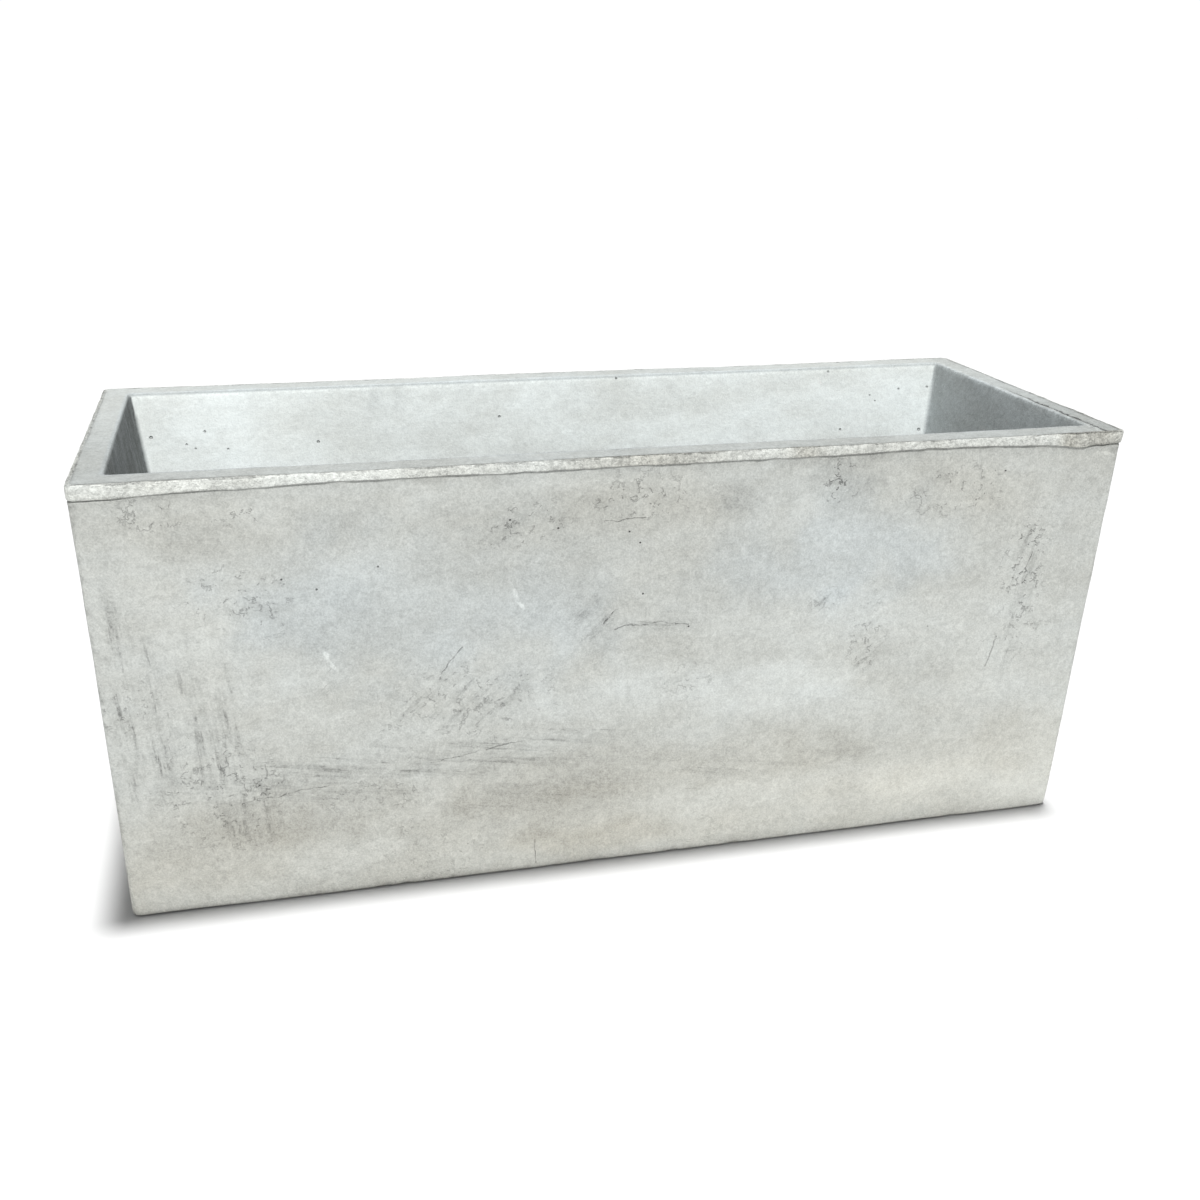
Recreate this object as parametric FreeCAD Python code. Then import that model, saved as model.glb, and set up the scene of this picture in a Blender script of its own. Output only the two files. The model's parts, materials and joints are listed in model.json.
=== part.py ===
import FreeCAD, Part
import math
import os

# Self watering trough planter: a thick walled concrete trough, open at the top, with a
# sub-irrigation kit that stands inside it. A liner tray in the bottom holds the water. A slotted
# platform over it carries the soil, and slotted wick cups reach from the platform into the water.
# Water is poured in through an upright fill shaft, a float gauge shows how much there is, and an
# overflow standpipe in a floor drain sets the highest level; pulling it up empties the tray.
#
# Frame: millimetres, origin at the centre of the footprint on the ground, +X along the trough,
# +Y to its back, +Z up.

# ---- driving dimensions -------------------------------------------------------------------

# Trough: outer size at the rim (over the raised lip) and at the ground
LENGTH, WIDTH, HEIGHT = 1000.0, 385.0, 440.0
BASE_LENGTH, BASE_WIDTH = 980.0, 318.0
LIP_HEIGHT, LIP_PROUD = 11.0, 1.5            # band of harder mix all round the top edge
RIM_END, RIM_SIDE = 28.0, 30.0               # flat top of the end walls and of the long walls
CORE_DRAFT_END, CORE_DRAFT_SIDE = 0.14, 0.13   # slope of the inner walls, across per height
FLOOR = 40.0
CORNER_R, BASE_EDGE_R, RIM_EDGE_R = 7.0, 4.0, 2.5
CAVITY_CORNER_R, CAVITY_FLOOR_R = 7.0, 6.0
INSERT_CORNER_R, TRAY_FLOOR_R = 14.0, 12.0   # corners of what stands in the cavity

# Places of the two upright fittings, both near the front wall, and of what stands on the floor
SHAFT_X, GAUGE_X, FITTING_Y = -372.0, 372.0, -66.0
CUP_X = (-255.0, -95.0, 95.0, 255.0)
LEG_PLACES = ((-175.0, 0.0), (-34.0, -62.0), (-34.0, 62.0),
              (34.0, -62.0), (34.0, 62.0), (175.0, 0.0))

# Tray, and the gaps between pieces that can be lifted apart
TRAY_GAP, TRAY_WALL, TRAY_HEIGHT = 5.0, 3.0, 108.0
TRAY_FLANGE = 3.0                            # the rim flange reaches this far past the wall
SEAT_GAP = 0.3                               # between a lifted piece and what it rests on
RUNNING = 0.05                               # radial, for a pin or pipe in its hole

# Platform
PANEL, RIB, RIB_DEPTH = 4.0, 2.5, 10.0
CELLS_X, CELLS_Y = 8, 6
SLOT_LENGTH, SLOT_WIDTH, SLOT_PITCH = 34.0, 4.0, 12.0
CUP_HOLE_R, SHAFT_HOLE_R, GAUGE_HOLE_R = 43.5, 30.5, 20.5
HOLE_COLLAR = 3.0
LEG_R, LEG_WALL, LEG_FOOT_R = 15.0, 2.8, 20.0

# Wick cups
CUP_TOP_R, CUP_BASE_R, CUP_WALL, CUP_FLANGE_R = 42.0, 33.0, 2.0, 49.0
CUP_FLANGE, CUP_FLOOR_GAP = 2.5, 5.0

# Drain and standpipe
DRAIN_BORE_R, DRAIN_BARREL_R, DRAIN_FLANGE_R = 14.0, 17.0, 28.0
POCKET_R, POCKET_DEPTH, CHANNEL_WIDTH, CHANNEL_DEPTH = 36.0, 24.0, 16.0, 8.0
WATER_TOP = 122.0                            # the standpipe's open mouth
PIPE_BORE_R = 11.0
STRAINER_R, ROD_R, RING_R = 20.0, 2.5, 10.0

# Fill shaft and its lid
SHAFT_R, SHAFT_WALL, SHAFT_FOOT, SHAFT_TOP = 30.0, 2.5, 60.0, 388.0
LID_R, LID_THICK, LID_PLUG, HINGE_OUT, HINGE_R, PIN_R = 35.0, 3.0, 5.0, 41.0, 4.5, 1.95

# Float gauge
CAGE_R, GAUGE_TUBE_R, WINDOW_R, FLOAT_R, FLOAT_HEIGHT = 20.0, 10.0, 12.0, 16.0, 30.0
FLOAT_TRAVEL, MARKER_HEIGHT, GAUGE_TUBE_TOP = 55.0, 12.0, 330.0

# ---- worked out from them -----------------------------------------------------------------

TRAY_FLOOR = FLOOR + TRAY_WALL               # upper face of the tray's floor
TRAY_TOP = FLOOR + TRAY_HEIGHT
PANEL_UNDER = TRAY_TOP + SEAT_GAP
PANEL_TOP = PANEL_UNDER + PANEL


def core_size(z, inset=0.0):
    """Length and width of the trough's cavity at height z, less inset on every side."""
    down = HEIGHT - z
    length = LENGTH - 2 * (RIM_END + CORE_DRAFT_END * down + inset)
    width = WIDTH - 2 * (RIM_SIDE + CORE_DRAFT_SIDE * down + inset)
    return length, width


def body_size(z, proud=0.0):
    """Length and width of the trough's outside at height z, plus proud on every side."""
    share = z / HEIGHT
    length = BASE_LENGTH + (LENGTH - 2 * LIP_PROUD - BASE_LENGTH) * share + 2 * proud
    width = BASE_WIDTH + (WIDTH - 2 * LIP_PROUD - BASE_WIDTH) * share + 2 * proud
    return length, width


# ---- shapes used again and again ----------------------------------------------------------

def at(x, y, z):
    return FreeCAD.Vector(x, y, z)


UP = at(0, 0, 1)


def box(low, high):
    """Box between two corners."""
    size = [b - a for a, b in zip(low, high)]
    return Part.makeBox(*size, at(*low))


def disc(radius, low, high, x=0.0, y=0.0):
    """Upright cylinder from height low to height high."""
    return Part.makeCylinder(radius, high - low, at(x, y, low), UP)


def ring(outer, inner, low, high, x=0.0, y=0.0):
    """Upright tube."""
    return disc(outer, low, high, x, y).cut(disc(inner, low, high, x, y))


def turned(profile, x=0.0, y=0.0):
    """Solid of revolution about the upright line through x, y from (radius, height) points."""
    points = [at(x + radius, y, z) for radius, z in profile]
    face = Part.Face(Part.makePolygon(points + points[:1]))
    return face.revolve(at(x, y, 0), UP, 360)


def tapered(size_low, size_high, low, high, corner, foot=0.0):
    """Block with sloping sides, its upright edges rounded by corner and its foot edge by foot."""
    wires = []
    for (length, width), z in ((size_low, low), (size_high, high)):
        a, b = length / 2, width / 2
        corners = [at(-a, -b, z), at(a, -b, z), at(a, b, z), at(-a, b, z)]
        wires.append(Part.makePolygon(corners + corners[:1]))
    block = Part.makeLoft(wires, True, True)
    block = block.makeFillet(corner, [e for e in block.Edges if e.BoundBox.ZLength > 1])
    if foot:
        level = [e for e in block.Edges if e.BoundBox.ZMax < low + 0.01]
        block = block.makeFillet(foot, level)
    return block


def round_the(shape, radius, height):
    """Rounds every level edge of the shape at one height."""
    edges = [e for e in shape.Edges
             if e.BoundBox.ZLength < 0.01 and abs(e.BoundBox.ZMin - height) < 0.01]
    return shape.makeFillet(radius, edges)


def around(count, x, y, tool, start=0.0):
    """Copies of a tool turned about the upright line through x, y."""
    copies = []
    for step in range(count):
        copy = tool.copy()
        copy.rotate(at(x, y, 0), UP, start + 360.0 * step / count)
        copies.append(copy)
    return Part.makeCompound(copies)


def hexagon(across_flats, low, high, x, y):
    """Upright hexagonal block."""
    radius = across_flats / math.sqrt(3)
    points = [at(x + radius * math.cos(math.radians(60 * k)),
                 y + radius * math.sin(math.radians(60 * k)), low) for k in range(7)]
    return Part.Face(Part.makePolygon(points)).extrude(at(0, 0, high - low))


# ---- the trough ---------------------------------------------------------------------------

def trough_shell():
    """Cast trough with its lip band, drain hole, nut pocket and the channel to the back."""
    shell = tapered(body_size(0), body_size(HEIGHT), 0, HEIGHT, CORNER_R, BASE_EDGE_R)
    band_foot = HEIGHT - LIP_HEIGHT
    band = tapered(body_size(band_foot, LIP_PROUD), (LENGTH, WIDTH), band_foot, HEIGHT,
                   CORNER_R + LIP_PROUD)
    shell = shell.fuse(round_the(band, RIM_EDGE_R, HEIGHT)).removeSplitter()
    over = 10.0                              # the cavity's cutter stands this far above the rim
    cavity = tapered(core_size(FLOOR), core_size(HEIGHT + over), FLOOR, HEIGHT + over,
                     CAVITY_CORNER_R, CAVITY_FLOOR_R)
    shell = shell.cut(cavity)
    shell = shell.cut(disc(POCKET_R, 0, POCKET_DEPTH, SHAFT_X, FITTING_Y))
    shell = shell.cut(disc(DRAIN_BARREL_R + 1, 0, FLOOR, SHAFT_X, FITTING_Y))
    half = CHANNEL_WIDTH / 2
    return shell.cut(box((SHAFT_X - half, FITTING_Y, 0), (SHAFT_X + half, WIDTH, CHANNEL_DEPTH)))


def reservoir_tray():
    """Thin liner tray that holds the water, with a rim flange that closes the gap to the wall."""
    flange_foot = TRAY_TOP - TRAY_WALL
    outer = tapered(core_size(FLOOR, TRAY_GAP), core_size(flange_foot, TRAY_GAP), FLOOR,
                    flange_foot, INSERT_CORNER_R, TRAY_FLOOR_R)
    rim = core_size(TRAY_TOP, TRAY_GAP - TRAY_FLANGE)
    flange = tapered(rim, rim, flange_foot, TRAY_TOP, INSERT_CORNER_R + TRAY_FLANGE)
    inset = TRAY_GAP + TRAY_WALL
    over = TRAY_TOP + 10                     # top of the cutter that hollows the tray
    inner = tapered(core_size(TRAY_FLOOR, inset), core_size(over, inset), TRAY_FLOOR, over,
                    INSERT_CORNER_R - TRAY_WALL, TRAY_FLOOR_R - TRAY_WALL)
    tray = outer.fuse(flange).cut(inner)
    return tray.cut(disc(DRAIN_BARREL_R + RUNNING, FLOOR, TRAY_FLOOR, SHAFT_X, FITTING_Y))


# ---- the floor drain ----------------------------------------------------------------------

GASKET = 2.0                                 # thickness of the seal under the drain's flange
DRAIN_FLANGE = 4.0
DRAIN_TOP = TRAY_FLOOR + GASKET + DRAIN_FLANGE
DRAIN_FOOT = 4.0                             # the barrel ends this far above the ground
PIPE_STOP = 31.0                             # the ledge that the standpipe stands over
LEDGE = 3.0


def drain_socket():
    """Flanged barrel through the tray and the floor, with a ledge that stops the standpipe."""
    flange_foot = TRAY_FLOOR + GASKET
    bevel = 1.2
    return turned((
        (DRAIN_BORE_R, DRAIN_FOOT), (DRAIN_BARREL_R, DRAIN_FOOT), (DRAIN_BARREL_R, flange_foot),
        (DRAIN_FLANGE_R, flange_foot), (DRAIN_FLANGE_R, DRAIN_TOP - bevel),
        (DRAIN_FLANGE_R - bevel, DRAIN_TOP), (DRAIN_BORE_R + bevel, DRAIN_TOP),
        (DRAIN_BORE_R, DRAIN_TOP - bevel), (DRAIN_BORE_R, PIPE_STOP),
        (DRAIN_BORE_R - LEDGE, PIPE_STOP), (DRAIN_BORE_R - LEDGE, PIPE_STOP - LEDGE),
        (DRAIN_BORE_R, PIPE_STOP - LEDGE)), SHAFT_X, FITTING_Y)


def drain_gasket():
    """Soft ring between the tray's floor and the drain's flange."""
    return ring(DRAIN_FLANGE_R - 1, DRAIN_BARREL_R, TRAY_FLOOR, TRAY_FLOOR + GASKET,
                SHAFT_X, FITTING_Y)


WASHER, NUT, NUT_FLATS = 3.0, 9.0, 46.0


def drain_washer():
    """Washer between the concrete and the nut, in the pocket underneath."""
    return ring(DRAIN_FLANGE_R, DRAIN_BARREL_R, POCKET_DEPTH - WASHER, POCKET_DEPTH,
                SHAFT_X, FITTING_Y)


def drain_nut():
    """Hexagon nut on the drain's barrel, its corners turned off."""
    high = POCKET_DEPTH - WASHER
    low = high - NUT
    block = hexagon(NUT_FLATS, low, high, SHAFT_X, FITTING_Y)
    widest, bevel = NUT_FLATS / math.sqrt(3), 2.0
    cone = turned(((0, low), (widest - bevel, low), (widest + 0.5, low + bevel),
                   (widest + 0.5, high), (0, high)), SHAFT_X, FITTING_Y)
    return block.common(cone).cut(disc(DRAIN_BARREL_R, low, high, SHAFT_X, FITTING_Y))


# ---- the overflow standpipe ---------------------------------------------------------------

PIPE_R = DRAIN_BORE_R - RUNNING
SEAL_Z, SEAL_HEIGHT, SEAL_DEPTH = 40.0, 3.0, 1.5
STRAINER_FOOT, STRAINER_TOP, STRAINER_WALL = 100.0, 136.0, 1.8
PULL_TOP = 352.0                             # centre height of the pull ring


def standpipe():
    """Pipe that stands in the drain; water over its mouth runs away. A groove holds its seal."""
    foot = PIPE_STOP + SEAT_GAP
    return turned((
        (PIPE_BORE_R, foot), (PIPE_R - 1, foot), (PIPE_R, foot + 1), (PIPE_R, SEAL_Z),
        (PIPE_R - SEAL_DEPTH, SEAL_Z), (PIPE_R - SEAL_DEPTH, SEAL_Z + SEAL_HEIGHT),
        (PIPE_R, SEAL_Z + SEAL_HEIGHT), (PIPE_R, WATER_TOP), (PIPE_BORE_R, WATER_TOP)),
        SHAFT_X, FITTING_Y)


def standpipe_seal():
    """Ring seal that fills the standpipe's groove."""
    return ring(PIPE_R, PIPE_R - SEAL_DEPTH, SEAL_Z, SEAL_Z + SEAL_HEIGHT, SHAFT_X, FITTING_Y)


def overflow_strainer():
    """Slotted cage on the standpipe's mouth that keeps soil and roots out of it."""
    foot, top, wall = STRAINER_FOOT, STRAINER_TOP, STRAINER_WALL
    cage = turned((
        (PIPE_R, foot), (STRAINER_R - 2, foot), (STRAINER_R, foot + 2), (STRAINER_R, top - 2),
        (STRAINER_R - 2, top), (2 * ROD_R, top), (2 * ROD_R, top + 8), (ROD_R, top + 8),
        (ROD_R, top), (0, top), (0, top - wall), (STRAINER_R - wall, top - wall),
        (STRAINER_R - wall, foot + wall), (PIPE_R, foot + wall)), SHAFT_X, FITTING_Y)
    slot = box((SHAFT_X + STRAINER_R / 2, FITTING_Y - 1.5, foot + 5),
               (SHAFT_X + STRAINER_R + 2, FITTING_Y + 1.5, top - 5))
    return cage.cut(around(14, SHAFT_X, FITTING_Y, slot))


def pull_rod():
    """Rod with a finger ring that lifts the standpipe from the top of the shaft."""
    rod = disc(ROD_R, STRAINER_TOP, PULL_TOP - RING_R, SHAFT_X, FITTING_Y)
    loop = Part.makeTorus(RING_R, ROD_R, at(SHAFT_X, FITTING_Y, PULL_TOP), at(0, 1, 0))
    return rod.fuse(loop).removeSplitter()


# ---- the platform that carries the soil ---------------------------------------------------

SEAM = 0.5                                   # half the gap between the platform's two halves


def near_hole(x, y, holes, reach):
    return any(math.hypot(x - hx, y - hy) < r + reach for hx, hy, r in holes)


def platform_slots(lines_x, lines_y, holes):
    """Slots in each cell between the ribs, left out where they would meet a hole."""
    slots = []
    half, r = SLOT_LENGTH / 2, SLOT_WIDTH / 2
    for x0, x1 in zip(lines_x, lines_x[1:]):
        for y0, y1 in zip(lines_y, lines_y[1:]):
            for offset in (-SLOT_PITCH / 2, SLOT_PITCH / 2):
                x, y = (x0 + x1) / 2, (y0 + y1) / 2 + offset
                ends = (x - half + r, x, x + half - r)
                if any(near_hole(end, y, holes, HOLE_COLLAR + 3 * r) for end in ends):
                    continue
                slot = box((ends[0], y - r, PANEL_UNDER), (ends[2], y + r, PANEL_TOP))
                for end in (ends[0], ends[2]):
                    slot = slot.fuse(disc(r, PANEL_UNDER, PANEL_TOP, end, y))
                slots.append(slot.removeSplitter())
    return Part.makeCompound(slots)


def platform_half(side):
    """One moulded half of the platform, side -1 left or +1 right: panel, ribs and collars."""
    panel_size = core_size(TRAY_TOP, TRAY_GAP - TRAY_FLANGE)
    panel = tapered(panel_size, panel_size, PANEL_UNDER, PANEL_TOP, INSERT_CORNER_R)
    rib_foot = PANEL_UNDER - RIB_DEPTH
    skirt_size = core_size(rib_foot, TRAY_GAP + TRAY_WALL + 1)
    skirt = tapered(skirt_size, skirt_size, rib_foot, PANEL_UNDER, INSERT_CORNER_R)
    hollow = [size - 2 * RIB for size in skirt_size]
    skirt = skirt.cut(tapered(hollow, hollow, rib_foot, PANEL_UNDER, INSERT_CORNER_R - RIB))
    near_x, far_x = sorted((side * SEAM, side * LENGTH))
    own_side = box((near_x, -WIDTH, 0), (far_x, WIDTH, HEIGHT))

    half_rib = RIB / 2
    first, last = SEAM + half_rib, skirt_size[0] / 2 - half_rib
    edge = skirt_size[1] / 2 - half_rib
    lines_x = [side * (first + (last - first) * i / CELLS_X) for i in range(CELLS_X + 1)]
    lines_y = [-edge + 2 * edge * j / CELLS_Y for j in range(CELLS_Y + 1)]
    low_x, high_x = sorted((side * first, side * last))
    ribs = [box((x - half_rib, -edge, rib_foot), (x + half_rib, edge, PANEL_UNDER))
            for x in lines_x[:-1]]
    ribs += [box((low_x, y - half_rib, rib_foot), (high_x, y + half_rib, PANEL_UNDER))
             for y in lines_y[1:-1]]

    fitting = (SHAFT_X, SHAFT_HOLE_R) if side < 0 else (GAUGE_X, GAUGE_HOLE_R)
    holes = [(x, 0.0, CUP_HOLE_R) for x in CUP_X if x * side > 0]
    holes.append((fitting[0], FITTING_Y, fitting[1]))
    legs = [(x, y, LEG_R + RUNNING) for x, y in LEG_PLACES if x * side > 0]
    collars = [disc(r + HOLE_COLLAR, rib_foot, PANEL_UNDER, x, y) for x, y, r in holes + legs]
    half = panel.common(own_side).fuse([skirt.common(own_side)] + ribs + collars)
    half = half.cut([disc(r, rib_foot, PANEL_TOP, x, y) for x, y, r in holes])
    half = half.cut([disc(r, rib_foot, PANEL_UNDER, x, y) for x, y, r in legs])
    slots = platform_slots(sorted(lines_x), lines_y, holes + legs)
    return half.removeSplitter().cut(slots)


def joiner_clips():
    """Two channel clips pushed up over the ribs on either side of the seam."""
    inner, wall, reach = SEAM + RIB + RUNNING, 2.8, 8.0
    low = PANEL_UNDER - RIB_DEPTH - wall
    clips = []
    for y in (-25.0, 25.0):
        outer = box((-inner - wall, y - 9, low), (inner + wall, y + 9, low + wall + reach))
        clips.append(outer.cut(box((-inner, y - 9, low + wall), (inner, y + 9, PANEL_UNDER))))
    return Part.makeCompound(clips)


def support_legs():
    """Hollow legs under the platform, each with a foot and windows that let the water through."""
    legs = []
    foot = TRAY_FLOOR + SEAT_GAP
    inner = LEG_R - LEG_WALL
    for x, y in LEG_PLACES:
        leg = turned(((inner, foot), (LEG_FOOT_R, foot), (LEG_FOOT_R, foot + 2),
                      (LEG_R, foot + 6), (LEG_R, PANEL_UNDER), (inner, PANEL_UNDER)), x, y)
        window = box((x, y - 4, foot + 10), (x + LEG_R + 1, y + 4, foot + 34))
        legs.append(leg.cut(around(3, x, y, window, 30)))
    return Part.makeCompound(legs)


# ---- the wick cups ------------------------------------------------------------------------

def wick_cup(x):
    """Tapered basket filled with soil in use: it hangs in the platform and dips into the water."""
    low = TRAY_FLOOR + CUP_FLOOR_GAP
    top = PANEL_TOP + SEAT_GAP + CUP_FLANGE
    under = top - CUP_FLANGE
    slope = (CUP_TOP_R - CUP_BASE_R) / (top - low)
    wall, bevel = CUP_WALL, 3.0
    cup = turned((
        (0, low), (CUP_BASE_R - bevel, low), (CUP_BASE_R, low + bevel),
        (CUP_TOP_R - slope * CUP_FLANGE, under), (CUP_FLANGE_R, under), (CUP_FLANGE_R, top),
        (CUP_TOP_R - wall, top), (CUP_BASE_R - wall, low + bevel),
        (CUP_BASE_R - bevel - 1, low + wall), (0, low + wall)), x, 0)
    side_slot = box((x + CUP_BASE_R / 2, -2, low + 12), (x + CUP_TOP_R, 2, under - 14))
    base_slot = box((x + 7, -1.8, low - 1), (x + CUP_BASE_R - 8, 1.8, low + wall + 1))
    return cup.cut([around(16, x, 0, side_slot), around(8, x, 0, base_slot)])


# ---- the fill shaft and its lid -----------------------------------------------------------

LID_FOOT = SHAFT_TOP + SEAT_GAP + 0.1        # underside of the closed lid
HINGE_Y, HINGE_Z = FITTING_Y + HINGE_OUT, LID_FOOT + 0.5
KNUCKLE = 5.0                                # half the length of the lid's hinge barrel
EAR = 4.5                                    # thickness of each hinge ear
SIDE_GAP = 0.4                               # between the lid's barrel and the ears
RING_LOW, RING_R_OUT = SHAFT_TOP - 18.0, 33.5


def fill_shaft():
    """Upright pipe from the reservoir to just below the rim, with slots at its foot."""
    pipe = ring(SHAFT_R, SHAFT_R - SHAFT_WALL, SHAFT_FOOT, SHAFT_TOP, SHAFT_X, FITTING_Y)
    slot = box((SHAFT_X, FITTING_Y - 5, SHAFT_FOOT),
               (SHAFT_X + SHAFT_R + 1, FITTING_Y + 5, SHAFT_FOOT + 38))
    return pipe.cut(around(6, SHAFT_X, FITTING_Y, slot, 30))


def shaft_collar():
    """Flanged collar that holds the shaft upright on the platform."""
    low = PANEL_TOP
    return turned((
        (SHAFT_R, low), (SHAFT_R + 14, low), (SHAFT_R + 14, low + 2.5), (SHAFT_R + 12, low + 4),
        (SHAFT_R + 5, low + 4), (SHAFT_R + 3.5, low + 8), (SHAFT_R + 3, low + 20),
        (SHAFT_R, low + 20)), SHAFT_X, FITTING_Y)


def lid_ring():
    """Ring round the top of the shaft, with two ears at the back that hold the lid's pin."""
    band = turned((
        (SHAFT_R, RING_LOW), (RING_R_OUT - 1, RING_LOW), (RING_R_OUT, RING_LOW + 1),
        (RING_R_OUT, SHAFT_TOP), (SHAFT_R, SHAFT_TOP)), SHAFT_X, FITTING_Y)
    ears = []
    for side in (-1, 1):
        near = SHAFT_X + side * (KNUCKLE + SIDE_GAP)
        low_x, high_x = sorted((near, near + side * EAR))
        barrel = Part.makeCylinder(HINGE_R, EAR, at(low_x, HINGE_Y, HINGE_Z), at(1, 0, 0))
        web = box((low_x, FITTING_Y + SHAFT_R, RING_LOW + 3),
                  (high_x, HINGE_Y + HINGE_R, SHAFT_TOP - 3))
        post = box((low_x, HINGE_Y - HINGE_R, SHAFT_TOP - 3), (high_x, HINGE_Y + HINGE_R, HINGE_Z))
        ears.append(barrel.fuse([web, post]))
    inside = disc(SHAFT_R, RING_LOW, HINGE_Z + HINGE_R, SHAFT_X, FITTING_Y)
    hole = Part.makeCylinder(PIN_R, 40, at(SHAFT_X - 20, HINGE_Y, HINGE_Z), at(1, 0, 0))
    return band.fuse(ears).cut([inside, hole]).removeSplitter()


def lid_pin():
    """Steel pin through both ears and the lid's barrel."""
    half = KNUCKLE + SIDE_GAP + EAR
    return Part.makeCylinder(PIN_R, 2 * half, at(SHAFT_X - half, HINGE_Y, HINGE_Z), at(1, 0, 0))


def shaft_lid():
    """Flat hinged lid with a finger tab and a short plug ring that goes into the shaft."""
    low, high = LID_FOOT, LID_FOOT + LID_THICK
    plug_r = SHAFT_R - SHAFT_WALL - 1.0
    cap = turned((
        (0, low), (plug_r - 2, low), (plug_r - 2, low - LID_PLUG), (plug_r, low - LID_PLUG),
        (plug_r, low), (LID_R - 1, low), (LID_R, low + 1), (LID_R, high - 1), (LID_R - 1, high),
        (0, high)), SHAFT_X, FITTING_Y)
    tab = box((SHAFT_X - 9, FITTING_Y - LID_R - 7, low), (SHAFT_X + 9, FITTING_Y - LID_R + 3, high))
    tab = tab.makeFillet(4, [e for e in tab.Edges if e.BoundBox.ZLength > 1
                             and e.BoundBox.YMax < FITTING_Y - LID_R])
    arm = box((SHAFT_X - KNUCKLE, FITTING_Y + LID_R - 4, low),
              (SHAFT_X + KNUCKLE, HINGE_Y, high))
    barrel = Part.makeCylinder(HINGE_R, 2 * KNUCKLE, at(SHAFT_X - KNUCKLE, HINGE_Y, HINGE_Z),
                               at(1, 0, 0))
    hole = Part.makeCylinder(PIN_R + RUNNING, 2 * KNUCKLE,
                             at(SHAFT_X - KNUCKLE, HINGE_Y, HINGE_Z), at(1, 0, 0))
    grips = [box((SHAFT_X - 6, FITTING_Y - LID_R - 5 + 3 * k, high),
                 (SHAFT_X + 6, FITTING_Y - LID_R - 4 + 3 * k, high + 0.8)) for k in range(3)]
    return cap.fuse([tab, arm, barrel] + grips).cut(hole).removeSplitter()


# ---- the float gauge ----------------------------------------------------------------------

CAGE_FOOT, CAGE_WALL = TRAY_FLOOR + 4.0, 2.0
CAGE_TOP = PANEL_TOP + 3.0
GAUGE_BORE_R = GAUGE_TUBE_R - 2.0
FLOAT_FOOT = CAGE_FOOT + CAGE_WALL + SEAT_GAP
MARKER_FOOT = GAUGE_TUBE_TOP + 4.0
WINDOW_INNER_TOP = MARKER_FOOT + MARKER_HEIGHT + FLOAT_TRAVEL + 1.0
FLOAT_ROD_R = 2.0


def gauge_cage():
    """Slotted cage that guides the float, hung in the platform, with a socket for the tube."""
    outer, inner = CAGE_R, CAGE_R - CAGE_WALL
    roof = CAGE_TOP - CAGE_WALL
    cage = turned((
        (0, CAGE_FOOT), (outer, CAGE_FOOT), (outer, PANEL_TOP), (outer + 8, PANEL_TOP),
        (outer + 8, PANEL_TOP + 2), (outer + 6, CAGE_TOP), (GAUGE_TUBE_R + 3, CAGE_TOP),
        (GAUGE_TUBE_R + 2.5, CAGE_TOP + 15), (GAUGE_TUBE_R, CAGE_TOP + 15),
        (GAUGE_TUBE_R, CAGE_TOP + 2), (GAUGE_BORE_R, CAGE_TOP + 2), (GAUGE_BORE_R, roof),
        (inner, roof), (inner, CAGE_FOOT + CAGE_WALL), (0, CAGE_FOOT + CAGE_WALL)),
        GAUGE_X, FITTING_Y)
    slot = box((GAUGE_X + inner - 3, FITTING_Y - 2.5, CAGE_FOOT + 6),
               (GAUGE_X + outer + 1, FITTING_Y + 2.5, PANEL_UNDER - RIB_DEPTH - 6))
    port = box((GAUGE_X + 5, FITTING_Y - 1.5, CAGE_FOOT - 1),
               (GAUGE_X + inner - 3, FITTING_Y + 1.5, CAGE_FOOT + CAGE_WALL + 1))
    return cage.cut([around(8, GAUGE_X, FITTING_Y, slot), around(6, GAUGE_X, FITTING_Y, port)])


def gauge_tube():
    """Pipe round the float's rod, up through the soil."""
    return ring(GAUGE_TUBE_R, GAUGE_BORE_R, CAGE_TOP + 2, GAUGE_TUBE_TOP, GAUGE_X, FITTING_Y)


def gauge_sleeve():
    """Coupling between the tube and the clear window."""
    middle = GAUGE_TUBE_TOP
    return turned((
        (GAUGE_TUBE_R, middle - 14), (WINDOW_R + 1.5, middle - 14), (WINDOW_R + 3, middle - 12),
        (WINDOW_R + 3, middle + 10), (WINDOW_R, middle + 10), (WINDOW_R, middle),
        (GAUGE_TUBE_R, middle)), GAUGE_X, FITTING_Y)


def gauge_window():
    """Clear cap with a domed top, in which the level marker rises."""
    inner = WINDOW_R - 1.8
    top = WINDOW_INNER_TOP
    return turned((
        (inner, GAUGE_TUBE_TOP), (WINDOW_R, GAUGE_TUBE_TOP), (WINDOW_R, top - 3),
        (WINDOW_R - 1.5, top), (WINDOW_R - 4, top + 1.8), (0, top + 2.4), (0, top + 0.6),
        (WINDOW_R - 5, top), (inner, top - 3)), GAUGE_X, FITTING_Y)


def gauge_float():
    """Closed-cell float with rounded ends."""
    low, high, bevel = FLOAT_FOOT, FLOAT_FOOT + FLOAT_HEIGHT, 3.0
    return turned((
        (0, low), (FLOAT_R - bevel, low), (FLOAT_R, low + bevel), (FLOAT_R, high - bevel),
        (FLOAT_R - bevel, high), (0, high)), GAUGE_X, FITTING_Y)


def float_rod():
    """Thin rod from the float up to the marker."""
    return disc(FLOAT_ROD_R, FLOAT_FOOT + FLOAT_HEIGHT, MARKER_FOOT, GAUGE_X, FITTING_Y)


def level_marker():
    """Bright marker on top of the rod, seen through the window."""
    low, high, r = MARKER_FOOT, MARKER_FOOT + MARKER_HEIGHT, GAUGE_BORE_R - 1.0
    return turned(((0, low), (r - 1, low), (r, low + 1), (r, high - 3), (r - 3, high), (0, high)),
                  GAUGE_X, FITTING_Y)


# ---- writing one file for each sub-part ---------------------------------------------------

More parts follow.
